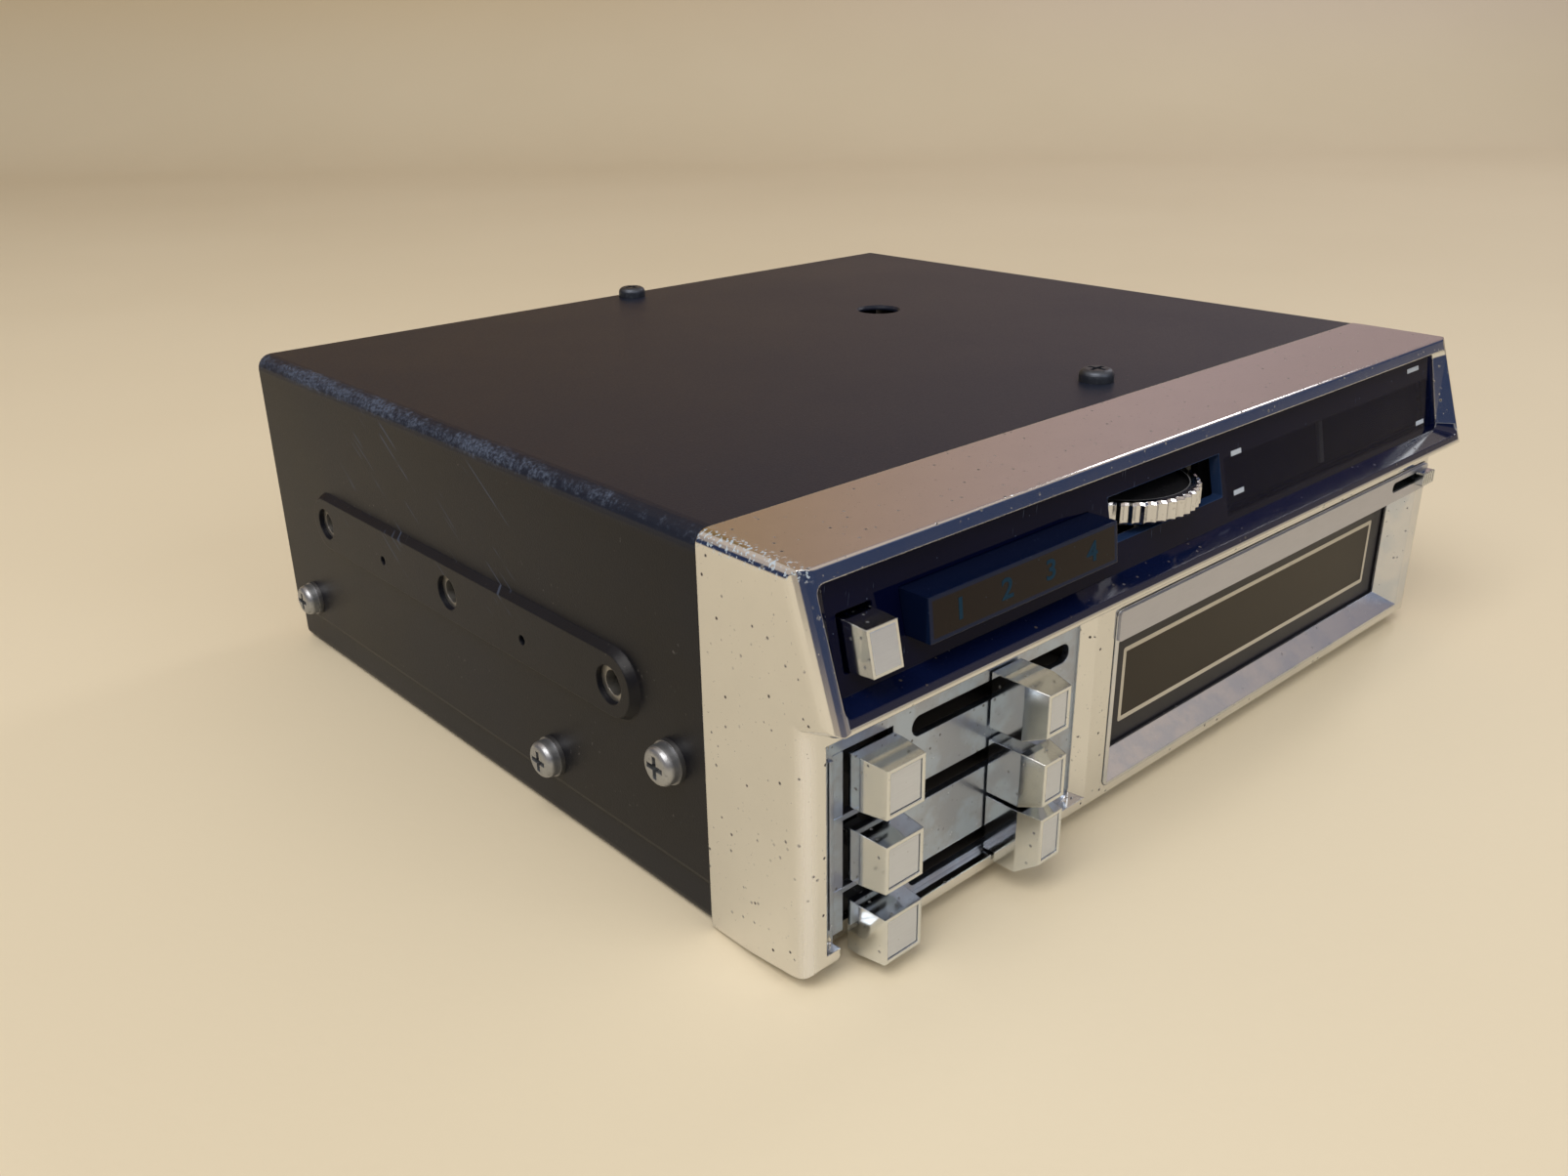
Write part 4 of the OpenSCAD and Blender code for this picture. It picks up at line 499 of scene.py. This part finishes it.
def satin(name, tint, rough=0.35, grain_size=0.4, metallic=0.0, depth=0.02, streak=None, specular=0.5):
    """Plain paint, plastic or plating: clouds and stains darken the tint, and a grain, or streaks where
    a scale for each axis is given, roughens it."""
    f = Finish(name, metallic=metallic, edge=0.15, specular=specular)
    cloud = f.noise(11.0, detail=3.0)
    grain = f.noise(grain_size, detail=3.0)
    if streak:
        grain = f.noise(1.0, detail=3.0, place=f.moved(scale=streak))
    colour = f.mix(cloud, tint, tint_times(tint, 0.82))
    colour = f.mix(f.noise(2.1, detail=4.0).rises(0.60, 0.80) * 0.35, colour, tint_times(tint, 0.6))
    return f.set(Base_Color=colour, Roughness=rough + grain * 0.12 + cloud * 0.06,
                 Normal=f.bump(grain, depth, 0.5))


paint(["dial_scale"], scale_print())
paint(["dial_pointer"], satin("pointer_paint", (0.60, 0.64, 0.70), 0.3))

# %% [markdown]
# ## Meshes for the thin pieces
#
# Three kinds of thin piece lie on the faces: the satin plates let into the buttons, the cream line on the
# door, and the digits. Each could be painted by a mask, but a real plate has an edge that catches light,
# so these are solid pieces a few hundredths of a millimetre to a third of a millimetre thick.


# %% Mesh helpers
def mesh_piece(name, points, faces, smooth=False):
    """A new object from points in millimetres and its faces, merged and turned outwards."""
    mesh = bpy.data.meshes.new(name)
    mesh.from_pydata((np.asarray(points, float) * MM).tolist(), [], [list(map(int, f)) for f in faces])
    work = bmesh.new()
    work.from_mesh(mesh)
    bmesh.ops.remove_doubles(work, verts=work.verts, dist=1e-6)
    bmesh.ops.recalc_face_normals(work, faces=work.faces)
    work.to_mesh(mesh)
    work.free()
    mesh.polygons.foreach_set("use_smooth", np.full(len(mesh.polygons), smooth))
    mesh.update()
    piece = bpy.data.objects.new(name, mesh)
    scene.collection.objects.link(piece)
    return piece


def grid_faces(rows, columns, wrap_rows=False, wrap_columns=False):
    """Quads of a grid of rows by columns points, numbered row by row, closed where it wraps."""
    r = np.arange(rows if wrap_rows else rows - 1)[:, None]
    c = np.arange(columns if wrap_columns else columns - 1)[None, :]
    up, along = (r + 1) % rows, (c + 1) % columns
    corners = (r * columns + c, r * columns + along, up * columns + along, up * columns + c)
    return np.stack(corners, -1).reshape(-1, 4)


def rounded_loop(x0, x1, z0, z1, radius, steps=6):
    """A rectangle's outline as (x, z) points, each corner a quarter circle of the radius."""
    angle = np.linspace(0, math.pi / 2, steps)
    centres = [(x1 - radius, z1 - radius), (x0 + radius, z1 - radius),
               (x0 + radius, z0 + radius), (x1 - radius, z0 + radius)]
    turns = [i * math.pi / 2 for i in range(4)]
    parts = [np.stack([cx + radius * np.cos(angle + t), cz + radius * np.sin(angle + t)], -1)
             for (cx, cz), t in zip(centres, turns)]
    return np.concatenate(parts)


print("a loop of 5 by 4 points has", len(grid_faces(5, 4, wrap_rows=True)), "quads")


# %% Face plate
def plate_stops(length, edge):
    """Where the grid lines of a plate run along a side, from 0 to 1, close together at its edges."""
    e = edge / length
    return np.array([0, 0.3 * e, e, 2.5 * e, 0.5, 1 - 2.5 * e, 1 - e, 1 - 0.3 * e, 1])


def face_plate(name, corners, thickness, edge=0.12):
    """A thin plate on four corners, given from the lower left round to the upper left.

    A point of the face is the mean of the corners weighed by u and v. Its height over the face is the
    thickness times a quarter circle that falls to 0 over the edge, and its back is the flat outline."""
    a, b, c, d = (np.asarray(p, float) for p in corners)
    wide, tall = np.linalg.norm(b - a), np.linalg.norm(d - a)
    normal = np.cross(b - a, d - a)
    normal = normal / np.linalg.norm(normal)
    u, v = np.meshgrid(plate_stops(wide, edge), plate_stops(tall, edge))
    near = np.minimum(np.minimum(u, 1 - u) * wide, np.minimum(v, 1 - v) * tall) / edge
    height = thickness * np.sqrt(1 - (1 - np.clip(near, 0, 1)) ** 2)
    flat = (a + u[..., None] * (b - a) + v[..., None] * (d - a)
            + (u * v)[..., None] * (c - b - d + a))
    points = flat + height[..., None] * normal
    n = u.shape[0]
    index = np.arange(n * n).reshape(n, n)
    border = np.concatenate([index[0, :-1], index[:-1, -1], index[-1, :0:-1], index[:0:-1, 0]])
    faces = grid_faces(n, n).tolist() + [border[::-1].tolist()]
    return mesh_piece(name, points.reshape(-1, 3), faces)


def upright_plate(name, x0, x1, z0, z1, reach, thickness):
    """A face plate that stands upright at a reach in front of the seam."""
    y = SEAM_Y - reach
    return face_plate(name, [(x0, y, z0), (x1, y, z0), (x1, y, z1), (x0, y, z1)], thickness)


# %% [markdown]
# ## Satin plates in the buttons and knobs
#
# Each push button and slider knob has a shallow pocket in its face, with a plate of satin metal in it. A
# plate could be one flat quad, but its rounded rim is what catches the light, so each one is a grid whose
# lines are close together at the rim. The finish is a fine brushing with small marks.

# %% Satin plates
POCKET, PLATE_THICK = 0.5, 0.34
PLATE_HALF_W, PLATE_HALF_H = 3.15, 3.25
KNOB_PLATE_X = (KNOB_X - 1.97, KNOB_X + 1.95)
KNOB_PLATE_Z = {"balance_knob": (30.03, 35.97), "tone_knob": (18.23, 24.27), "volume_knob": (7.63, 14.57)}
PROGRAM_X, PROGRAM_Z = (-86.4, -81.6), (50.75, 56.45)
PROGRAM_FOOT_REACH, PROGRAM_FOOT_Z, PROGRAM_SLOPE = 26.8, 50.35, 1.4 / 6.5

plates = []
for row, name in enumerate(["tuner_button", "fast_forward_button", "stereo_button"]):
    z = BUTTON_Z + row * BUTTON_PITCH
    plate = upright_plate(name + "_plate", BUTTON_X - PLATE_HALF_W, BUTTON_X + PLATE_HALF_W,
                          z - PLATE_HALF_H, z + PLATE_HALF_H, BUTTON_REACH - POCKET, PLATE_THICK)
    plates.append((plate, name))
for name, heights in KNOB_PLATE_Z.items():
    plate = upright_plate(name + "_plate", *KNOB_PLATE_X, *heights, KNOB_REACH - POCKET, PLATE_THICK)
    plates.append((plate, name))


def program_face(z):
    """Depth of the program button's sloping face: it leans back by its slope from the foot up."""
    return SEAM_Y - PROGRAM_FOOT_REACH + (z - PROGRAM_FOOT_Z) * PROGRAM_SLOPE


(left, right), (low, high) = PROGRAM_X, PROGRAM_Z
corners = [(left, program_face(low), low), (right, program_face(low), low),
           (right, program_face(high), high), (left, program_face(high), high)]
plates.append((face_plate("program_button_plate", corners, 0.05), "program_button"))
for plate, body in plates:
    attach(plate, body)
print(len(plates), "plates")


# %% Satin metal
def satin_metal(name, tint, rough, along=(0.15, 1, 4.0)):
    """Brushed metal: a noise stretched along X darkens the tint in streaks, with clouds and dark spots."""
    f = Finish(name, metallic=1.0, edge=0.12)
    brushed = f.noise(0.8, detail=4.0, place=f.moved(scale=along))
    cloud = f.noise(9.0, detail=4.0, rough=0.65)
    spots = f.cells(1.3).falls(0.04, 0.12) * f.noise(1.9).rises(0.54, 0.64)
    colour = f.mix(brushed * 0.6 + cloud * 0.4, tint, tint_times(tint, 0.84))
    colour = f.mix(spots * 0.6, colour, (0.12, 0.11, 0.10))
    return f.set(Base_Color=colour, Metallic=0.85 - spots * 0.4, Roughness=rough + brushed * 0.14,
                 Normal=f.bump(brushed, 0.015, 0.5))


paint([p.name for p, _ in plates], satin_metal("plate_satin", (0.66, 0.70, 0.78), 0.32))
paint(["trim_strip"], satin_metal("strip_satin", (0.54, 0.55, 0.62), 0.30))

# %% [markdown]
# ## Slot strip
#
# In the tall slot beside the push buttons a narrow upright of the same bright metal can be seen. It is
# one straight bar, so its eight corners are written out, and a Bevel modifier rounds its edges.

# %% Slot strip
STRIP_X, STRIP_Z = (-87.0, -84.75), (5.9, 36.0)
STRIP_Y = (SEAM_Y - 19.13, SEAM_Y - 18.2)


def bar(name, x, y, z, round_by=0.1):
    """A straight bar between two places on each axis, its edges rounded by a Bevel modifier."""
    corners = [(x[i], y[j], z[k]) for i in (0, 1) for j in (0, 1) for k in (0, 1)]
    faces = [(0, 1, 3, 2), (4, 6, 7, 5), (0, 4, 5, 1), (2, 3, 7, 6), (0, 2, 6, 4), (1, 5, 7, 3)]
    piece = mesh_piece(name, corners, faces)
    bevel = piece.modifiers.new("bevel", "BEVEL")
    bevel.width, bevel.segments = round_by * MM, 2
    return piece


slot_strip = bar("slot_strip", STRIP_X, STRIP_Y, STRIP_Z)
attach(slot_strip, "unit")
paint(["slot_strip"], plate_plating)

# %% [markdown]
# ## Tape door
#
# The door is a pressed plate in dark brown satin paint, with a thin cream line round a plain panel. The
# line is a closed ring: four copies of a rounded rectangle, two outside and two inside, joined in a loop.


# %% Door line
LINE_X, LINE_Z, LINE_WIDE, LINE_THICK = (-14.1, 78.3), (12.6, 27.2), 0.9, 0.03


def line_ring(name, x0, x1, z0, z1, line, reach, thickness, radius=0.5):
    """A flat ring of rectangular section: outer and inner outline, each in front and behind."""
    outer = rounded_loop(x0, x1, z0, z1, radius)
    inner = rounded_loop(x0 + line, x1 - line, z0 + line, z1 - line, max(radius - line, 0.08))
    front, back = SEAM_Y - reach - thickness, SEAM_Y - reach
    loops = [(outer, front), (inner, front), (inner, back), (outer, back)]
    points = np.concatenate([np.stack([p[:, 0], np.full(len(p), y), p[:, 1]], -1) for p, y in loops])
    return mesh_piece(name, points, grid_faces(4, len(outer), wrap_rows=True, wrap_columns=True))


door_line = line_ring("door_line", *LINE_X, *LINE_Z, LINE_WIDE, DOOR_REACH, LINE_THICK)
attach(door_line, "tape_door")
paint(["door_line"], satin("line_cream", (0.62, 0.56, 0.45), 0.45))


def door_paint():
    """Dark satin paint, browner inside the line than outside it, with a fine grain and dust."""
    f = Finish("door_paint", ior=1.45, edge=0.2, specular=0.3)
    grain = f.noise(0.28, detail=3.0)
    cloud = f.noise(26.0, detail=4.0)
    panel = f.x.inside(LINE_X[0] + 0.3, LINE_X[1] - 0.3, 0.1)
    panel = panel * f.z.inside(LINE_Z[0] + 0.3, LINE_Z[1] - 0.3, 0.1)
    dust = f.cells(1.2).falls(0.03, 0.09) * f.noise(1.7).rises(0.56, 0.66)
    colour = f.mix(panel, (0.016, 0.017, 0.024), (0.019, 0.0135, 0.0085))
    colour = f.mix(cloud * 0.3, colour, (0.034, 0.026, 0.018))
    colour = f.mix(dust * 0.5, colour, (0.30, 0.28, 0.25))
    return f.set(Base_Color=colour, Metallic=0.2 * panel, Roughness=0.30 + grain * 0.12,
                 Normal=f.bump(grain, 0.02, 0.4))


paint(["tape_door"], door_paint())

# %% [markdown]
# ## Digits and marks
#
# The indicator has a digit in front of each of its four lamps, dim blue while the lamps are off. A text
# curve gives the outlines; it becomes a mesh first, and then its points are laid on the sloping face.
# On the dial window lie four small pale bars, which are face plates like those in the buttons.


# %% Digits
FACE_LEAN, FACE_REACH, FACE_Z = math.atan2(0.7, 6.6), 26.15, 51.2
DIGIT_X, DIGIT_Z, DIGIT_HEIGHT = (-69.0, -59.0, -49.1, -39.1), 54.6, 3.2
DIGIT_THICK, SUNK, WIDER = 0.035, 0.005, 1.25


def numeral(name, text, height, centre, lean, depth):
    """A digit as a thin solid: its flat points scaled to a height, then laid on a face leaning back.

    A point is the centre, plus its place across, plus its place up along the leaning face, plus its
    depth along the face's outward direction."""
    curve = bpy.data.curves.new(name + "_curve", "FONT")
    curve.body, curve.resolution_u = text, 4
    curve.extrude, curve.offset = 0.01, 0.022
    holder = bpy.data.objects.new(name + "_curve", curve)
    scene.collection.objects.link(holder)
    bpy.context.view_layer.update()
    flat = bpy.data.meshes.new_from_object(holder.evaluated_get(bpy.context.evaluated_depsgraph_get()))
    xyz = np.empty(len(flat.vertices) * 3)
    flat.vertices.foreach_get("co", xyz)
    xyz = xyz.reshape(-1, 3)
    faces = [list(p.vertices) for p in flat.polygons]
    bpy.data.objects.remove(holder)
    bpy.data.meshes.remove(flat)
    low, high = xyz.min(0), xyz.max(0)
    scale = height / (high[1] - low[1])
    across = (xyz[:, 0] - (low[0] + high[0]) / 2) * scale * WIDER
    tall = (xyz[:, 1] - (low[1] + high[1]) / 2) * scale
    out = (xyz[:, 2] - low[2]) / (high[2] - low[2]) * depth
    up = np.array([0, math.sin(lean), math.cos(lean)])
    outward = np.array([0, -math.cos(lean), math.sin(lean)])
    points = (np.asarray(centre, float) + across[:, None] * np.array([1.0, 0, 0]) + tall[:, None] * up
              + out[:, None] * outward)
    return mesh_piece(name, points, faces)


digits = []
face_y = SEAM_Y - FACE_REACH + (DIGIT_Z - FACE_Z) * math.tan(FACE_LEAN) + SUNK
for i, x in enumerate(DIGIT_X):
    centre = (x, face_y, DIGIT_Z)
    digit = numeral(f"digit_{i + 1}", str(i + 1), DIGIT_HEIGHT, centre, FACE_LEAN, DIGIT_THICK)
    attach(digit, "unit")
    digits.append(digit.name)
paint(digits, satin("digit_blue", (0.004, 0.030, 0.060), 0.5, specular=0.1))

# %% Dial marks
MARKS = {
    "mark_lower_left": (10.4, 51.2, 3.4),
    "mark_upper_left": (10.5, 58.0, 3.4),
    "mark_upper_right": (79.9, 60.4, 5.2),
    "mark_lower_right": (81.8, 49.3, 3.6),
}
MARK_TALL, MARK_THICK, MARK_EDGE = 0.9, 0.03, 0.05

marks = []
for name, (x, z, wide) in MARKS.items():
    x0, x1 = x - wide / 2, x + wide / 2
    z0, z1 = z - MARK_TALL / 2, z + MARK_TALL / 2
    y0, y1 = window_y(z0), window_y(z1)
    corners = [(x0, y0, z0), (x1, y0, z0), (x1, y1, z1), (x0, y1, z1)]
    mark = face_plate(name, corners, MARK_THICK, MARK_EDGE)
    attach(mark, "unit")
    marks.append(name)
paint(marks, satin("mark_pale", (0.50, 0.56, 0.66), 0.4))

# %% [markdown]
# ## Screws, sheet metal and the back
#
# Plated steel parts differ by how they were made: screws have a dull grey zinc skin with dark spots, the
# sheets have a cloudy one with rolling streaks, and the turned parts show fine rings. Each gets its own
# pattern from the same few helpers.


# %% Zinc and steel
def screw_zinc():
    """Grey zinc: clouds between a light and a dark grey, dark spots, and darker heads on the top."""
    f = Finish("screw_zinc", metallic=1.0, edge=0.15)
    cloud = f.noise(1.8, detail=5.0, rough=0.7)
    spots = f.noise(0.7, detail=3.0).rises(0.56, 0.72)
    top = f.z.rises(CASE_H - 1.0, CASE_H - 0.5)
    colour = f.mix(cloud, (0.46, 0.48, 0.51), (0.27, 0.28, 0.30))
    colour = f.mix(spots * 0.5, colour, (0.13, 0.125, 0.12))
    colour = f.mix(top, colour, (0.075, 0.085, 0.105))
    return f.set(Base_Color=colour, Metallic=0.9 - spots * 0.3, Roughness=0.30 + cloud * 0.16 + top * 0.08,
                 Normal=f.bump(cloud, 0.03, 0.5))


def sheet_zinc(name, tint, along=(0.1, 1.5, 1.5)):
    """Zinc sheet: large cells, streaks along one axis, and a pale bloom where a wide noise is high."""
    f = Finish(name, metallic=1.0, edge=0.2)
    spangle = f.cells(5.5).rises(0.2, 0.9)
    streak = f.noise(1.2, detail=3.0, place=f.moved(scale=along))
    bloom = f.noise(13.0, detail=5.0, rough=0.65).rises(0.5, 0.75)
    colour = f.mix(spangle * 0.5 + streak * 0.5, tint, tint_times(tint, 0.78))
    colour = f.mix(bloom * 0.4, colour, (0.40, 0.38, 0.34))
    return f.set(Base_Color=colour, Roughness=0.30 + spangle * 0.10 + bloom * 0.16,
                 Normal=f.bump(streak, 0.02, 0.4))


def turned(name, tint, rough=0.22, pitch=0.35):
    """Turned metal: fine rings along its upright axis, over a faint cloud."""
    f = Finish(name, metallic=1.0, edge=0.15)
    rings = f.z.wave(pitch) * f.noise(1.5).rises(0.2, 0.8)
    cloud = f.noise(6.0, detail=4.0)
    colour = f.mix(cloud, tint, tint_times(tint, 0.78))
    return f.set(Base_Color=colour, Roughness=rough + cloud * 0.12, Normal=f.bump(rings, 0.012, 0.4))


paint(["case_screws"], screw_zinc())
paint(["split_washers", "door_spring"], satin("spring_steel", (0.26, 0.265, 0.28), 0.34, 0.5, 1.0))
paint(["bracket_nuts"], satin("nut_zinc", (0.42, 0.41, 0.39), 0.36, 0.6, 1.0))
paint(["rear_panel"], sheet_zinc("panel_zinc", (0.56, 0.56, 0.54)))
paint(["dial_chassis", "cartridge_guide", "deck_plate", "head_carriage"],
      sheet_zinc("deck_zinc", (0.60, 0.60, 0.57), (1.5, 0.1, 1.5)))
paint(["dial_pins", "pointer_rail", "door_pin", "capstan_shaft", "head_post", "solenoid_plunger",
       "tape_head"],
      turned("bright_steel", (0.66, 0.66, 0.67), 0.14, 0.6))
paint(["capstan_bearing", "motor_pulley", "deck_pillars", "board_standoffs"],
      turned("turned_brass", (0.62, 0.43, 0.17), 0.20))
paint(["flywheel"], turned("cast_zinc", (0.44, 0.43, 0.41), 0.32, 0.8))
paint(["aerial_socket"], turned("socket_nickel", (0.62, 0.60, 0.56), 0.24, 0.5))
paint(["heat_sink"], satin("sink_black", (0.022, 0.022, 0.024), 0.40, 0.5, 0.0, 0.03, streak=(3.0, 3.0, 0.1)))

# %% [markdown]
# ## Plastics, rubber and boards
#
# The last group is mostly out of sight, inside the case and behind the slots. The boards get a resin tone
# with darker tracks, the belt and the grommet a dull rubber, and the cord a twist.


# %% Inner finishes
def track_board():
    """Resin board: fibres stretched along Y, and tracks where the distance to a cell's point is in a band."""
    f = Finish("track_board", ior=1.5)
    fibre = f.noise(0.8, detail=3.0, place=f.moved(scale=(1, 0.2, 1)))
    tracks = f.cells(4.5).inside(0.42, 0.50, 0.02)
    colour = f.mix(fibre, (0.16, 0.115, 0.045), (0.11, 0.085, 0.035))
    colour = f.mix(tracks * 0.6, colour, (0.05, 0.075, 0.03))
    return f.set(Base_Color=colour, Roughness=0.36 + fibre * 0.14,
                 Normal=f.bump(tracks + fibre * 0.3, 0.03, 0.4))


def coil_copper():
    """Wound wire: a sine along X as wide as one turn, raised and metallic only within the coil."""
    f = Finish("coil_copper", ior=1.5)
    turns = f.x.wave(0.45)
    coil = f.z.inside(2.6, 15.4, 0.1) * f.x.inside(-12.6, 9.1, 0.1)
    colour = f.mix(turns, (0.30, 0.085, 0.025), (0.42, 0.15, 0.05))
    return f.set(Base_Color=colour, Metallic=0.5 * coil, Roughness=0.32 + turns * 0.1,
                 Normal=f.bump(turns * coil, 0.08, 0.6))


def cord_thread():
    """Twisted thread: a sine that climbs across the cord."""
    f = Finish("cord_thread")
    twist = (f.x + f.z * 1.4).wave(0.7)
    colour = f.mix(twist, (0.16, 0.11, 0.055), (0.30, 0.22, 0.12))
    return f.set(Base_Color=colour, Roughness=0.75 + twist * 0.1, Normal=f.bump(twist, 0.05, 0.7))


def lamp_glass():
    """Frosted bulb: nearly clear, with a faint cloud."""
    f = Finish("lamp_glass", ior=1.5)
    cloud = f.noise(3.0, detail=2.0)
    cap = f.noise(0.6).rises(0.5, 0.7)
    colour = f.mix(cloud, (0.80, 0.76, 0.62), (0.66, 0.62, 0.52))
    return f.set(Base_Color=colour, Alpha=0.62 + cap * 0.1, Roughness=0.06 + cloud * 0.06,
                 Normal=f.bump(cloud, 0.02, 0.3))


paint(["indicator_housing", "button_bank", "program_switch", "local_switch"],
      satin("black_plastic", (0.012, 0.012, 0.013), 0.42))
paint(["idler_pulley", "program_cam"], satin("white_plastic", (0.62, 0.59, 0.52), 0.38))
paint(["amplifier_board", "tuner_board"], track_board())
paint(["slide_controls"], satin("slider_resin", (0.020, 0.017, 0.014), 0.46))
paint(["drive_motor"], satin("motor_can", (0.34, 0.35, 0.36), 0.30, 0.3))
paint(["solenoid"], coil_copper())
paint(["tuning_cord"], cord_thread())
paint(["drive_belt"], satin("belt_rubber", (0.014, 0.014, 0.014), 0.62, 0.25))
paint(["lead_grommet"], satin("grommet_rubber", (0.016, 0.016, 0.017), 0.55, 0.3))
paint(["dial_lamps", "indicator_lamps"], lamp_glass())

bare = [name for name, piece in nodes.items() if not piece.data.materials or
        not piece.data.materials[0].use_nodes]
print("nodes without a finish:", bare)

# %% [markdown]
# ## Floor, light and camera
#
# The stage is a pale sweep that turns up behind the object, lit by three large soft lamps. The camera was
# found from the photograph by fitting the corners of the box: a place, two angles, a roll and a focal
# length in the photograph's own pixels.

# %% Camera
CAMERA_AT = Vector((-195.6, -205.3, 127.3)) * MM
AZIMUTH, DOWN, ROLL = math.radians(41.843), math.radians(23.02), math.radians(-0.993)
FOCAL_PX, PHOTO_W = 1347.76, 1606

forward = Vector((math.sin(AZIMUTH) * math.cos(DOWN), math.cos(AZIMUTH) * math.cos(DOWN), -math.sin(DOWN)))
level = Vector((math.cos(AZIMUTH), -math.sin(AZIMUTH), 0))
upright = level.cross(forward)
right = level * math.cos(ROLL) + upright * math.sin(ROLL)
up = upright * math.cos(ROLL) - level * math.sin(ROLL)
turned_axes = Matrix((right, up, -forward)).transposed()
camera = bpy.data.objects.new("camera", bpy.data.cameras.new("camera"))
scene.collection.objects.link(camera)
camera.matrix_world = Matrix.Translation(CAMERA_AT) @ turned_axes.to_4x4()
camera.data.sensor_width = 36.0
camera.data.lens = FOCAL_PX / PHOTO_W * camera.data.sensor_width
camera.data.clip_start, camera.data.clip_end = 0.01, 20.0
scene.camera = camera
print("lens", round(camera.data.lens, 2), "mm")


# %% [markdown]
# ## Sweep
#
# A studio sweep has no corner, so no line runs behind the object. Its profile is carried straight across:
# flat floor, a quarter circle, then upright. The upright part is browner on the left and greyer on the
# right, and the case and the bright front mirror it.

# %% Sweep
def sweep(name, half_width=3000.0, front=-2500.0, back=1100.0, bend=450.0, height=2200.0):
    """Floor and backdrop in one sheet: flat, then a quarter circle of radius bend, then upright.

    On the bend Y is back plus bend times the sine, and Z is bend minus bend times the cosine."""
    turn = np.linspace(0, math.pi / 2, 25)
    y = np.concatenate([[front, back - 500], back + bend * np.sin(turn), [back + bend]])
    z = np.concatenate([[0, 0], bend - bend * np.cos(turn), [height]])
    x = np.array([-half_width, half_width])
    points = np.stack([np.repeat(x[None, :], len(y), 0), np.repeat(y[:, None], 2, 1),
                       np.repeat(z[:, None], 2, 1)], -1).reshape(-1, 3)
    piece = mesh_piece(name, points, grid_faces(len(y), 2), smooth=True)
    piece.data.transform(Matrix.Rotation(-AZIMUTH, 4, "Z"))
    return piece


floor = sweep("floor")


def floor_finish():
    """Pale cloth: slow clouds, browner to greyer where it turns up, and a fine relief."""
    f = Finish("floor_cloth")
    cloud = f.noise(260.0, detail=3.0)
    colour = f.mix(cloud, (0.73, 0.63, 0.455), (0.79, 0.69, 0.515))
    upright_part = f.z.rises(30.0, 420.0)
    sideways = (f.x * math.cos(AZIMUTH) - f.y * math.sin(AZIMUTH)).rises(-500.0, 700.0)
    behind = f.mix(sideways, (0.49, 0.315, 0.125), (0.61, 0.48, 0.51))
    colour = f.mix(upright_part, colour, behind)
    return f.set(Base_Color=colour, Roughness=0.62 + cloud * 0.1,
                 Normal=f.bump(f.noise(2.2, detail=4.0), 0.12, 0.3))


paint(["floor"], floor_finish())


# %% [markdown]
# ## Lamps
#
# One large lamp lights from the left, a weaker one fills from the front, and a small one behind on the
# right draws a thin line on the far edges. Large lamps give soft shadows and wide, calm highlights.

# %% Lamps
UPON = (0, 0, 0.03)


def lamp(name, at, size, power, colour=(1, 1, 1)):
    """A rectangular area lamp at a place, turned to face the object."""
    data = bpy.data.lights.new(name, "AREA")
    data.shape, data.size, data.size_y = "RECTANGLE", size[0], size[1]
    data.energy, data.color = power, colour
    piece = bpy.data.objects.new(name, data)
    scene.collection.objects.link(piece)
    piece.location = at
    piece.rotation_euler = (Vector(UPON) - Vector(at)).to_track_quat("-Z", "Y").to_euler()
    print(name, "lamp,", power, "W")


lamp("key", (-0.80, -0.35, 1.25), (1.1, 0.8), 15.0, (1.0, 0.97, 0.93))
lamp("fill", (0.20, -1.45, 1.00), (0.8, 0.6), 4.5, (0.90, 0.95, 1.0))
lamp("rim", (1.35, 0.15, 0.95), (0.3, 0.3), 2.5)

# %% [markdown]
# ## Room
#
# Chrome and gloss show what stands round them, and a mirror in an empty white world looks like plaster.
# So the world is a simple room: each band of height has its colour. The eye, mirrors and glass see this
# room, and the light that it sheds is an even grey, so that it doesn't tint the paint.

# %% Room
HORIZON, OVERHEAD, CEILING = (-0.02, 0.07), (0.12, 0.30), (0.42, 0.66)


def room():
    """The room round the stage, for the eye and for mirrors alike: tan at the horizon, dark blue in
    the middle, where the onlooker stands, patchy higher up, and a warm ceiling overhead. The light
    that it sheds on the object is even and plain."""
    world = bpy.data.worlds.new("studio")
    scene.world = world
    world.use_nodes = True
    t = Tree(world.node_tree)
    direction = t.tree.nodes.new("ShaderNodeTexCoord").outputs["Generated"]
    height = t.split(direction)[2]
    patches = t.node("ShaderNodeTexNoise", {"in:Vector": direction, "in:Scale": 2.3, "in:Detail": 3.0})
    overhead = height.rises(*OVERHEAD)
    glow = patches.rises(0.45, 0.62) * overhead + (1 - overhead) * 0.30
    walls = t.mix(glow, (0.010, 0.016, 0.050), (0.075, 0.115, 0.230))
    picture = t.mix(height.rises(*HORIZON), (0.50, 0.41, 0.32), walls)
    picture = t.mix((height + patches * 0.2).rises(*CEILING), picture, (0.62, 0.52, 0.44))
    seen = (t.ray_is("Camera") + t.ray_is("Glossy") + t.ray_is("Transmission")).rises(0.0, 1.0)
    colour = t.mix(seen, (0.40, 0.39, 0.375), picture)
    ground = t.node("ShaderNodeBackground", None, colour, 1.0)
    out = t.tree.nodes.new("ShaderNodeOutputWorld")
    t.feed(out.inputs["Surface"], ground)
    print("room with", len(t.tree.nodes), "nodes")


room()
scene.view_settings.view_transform = "Standard"
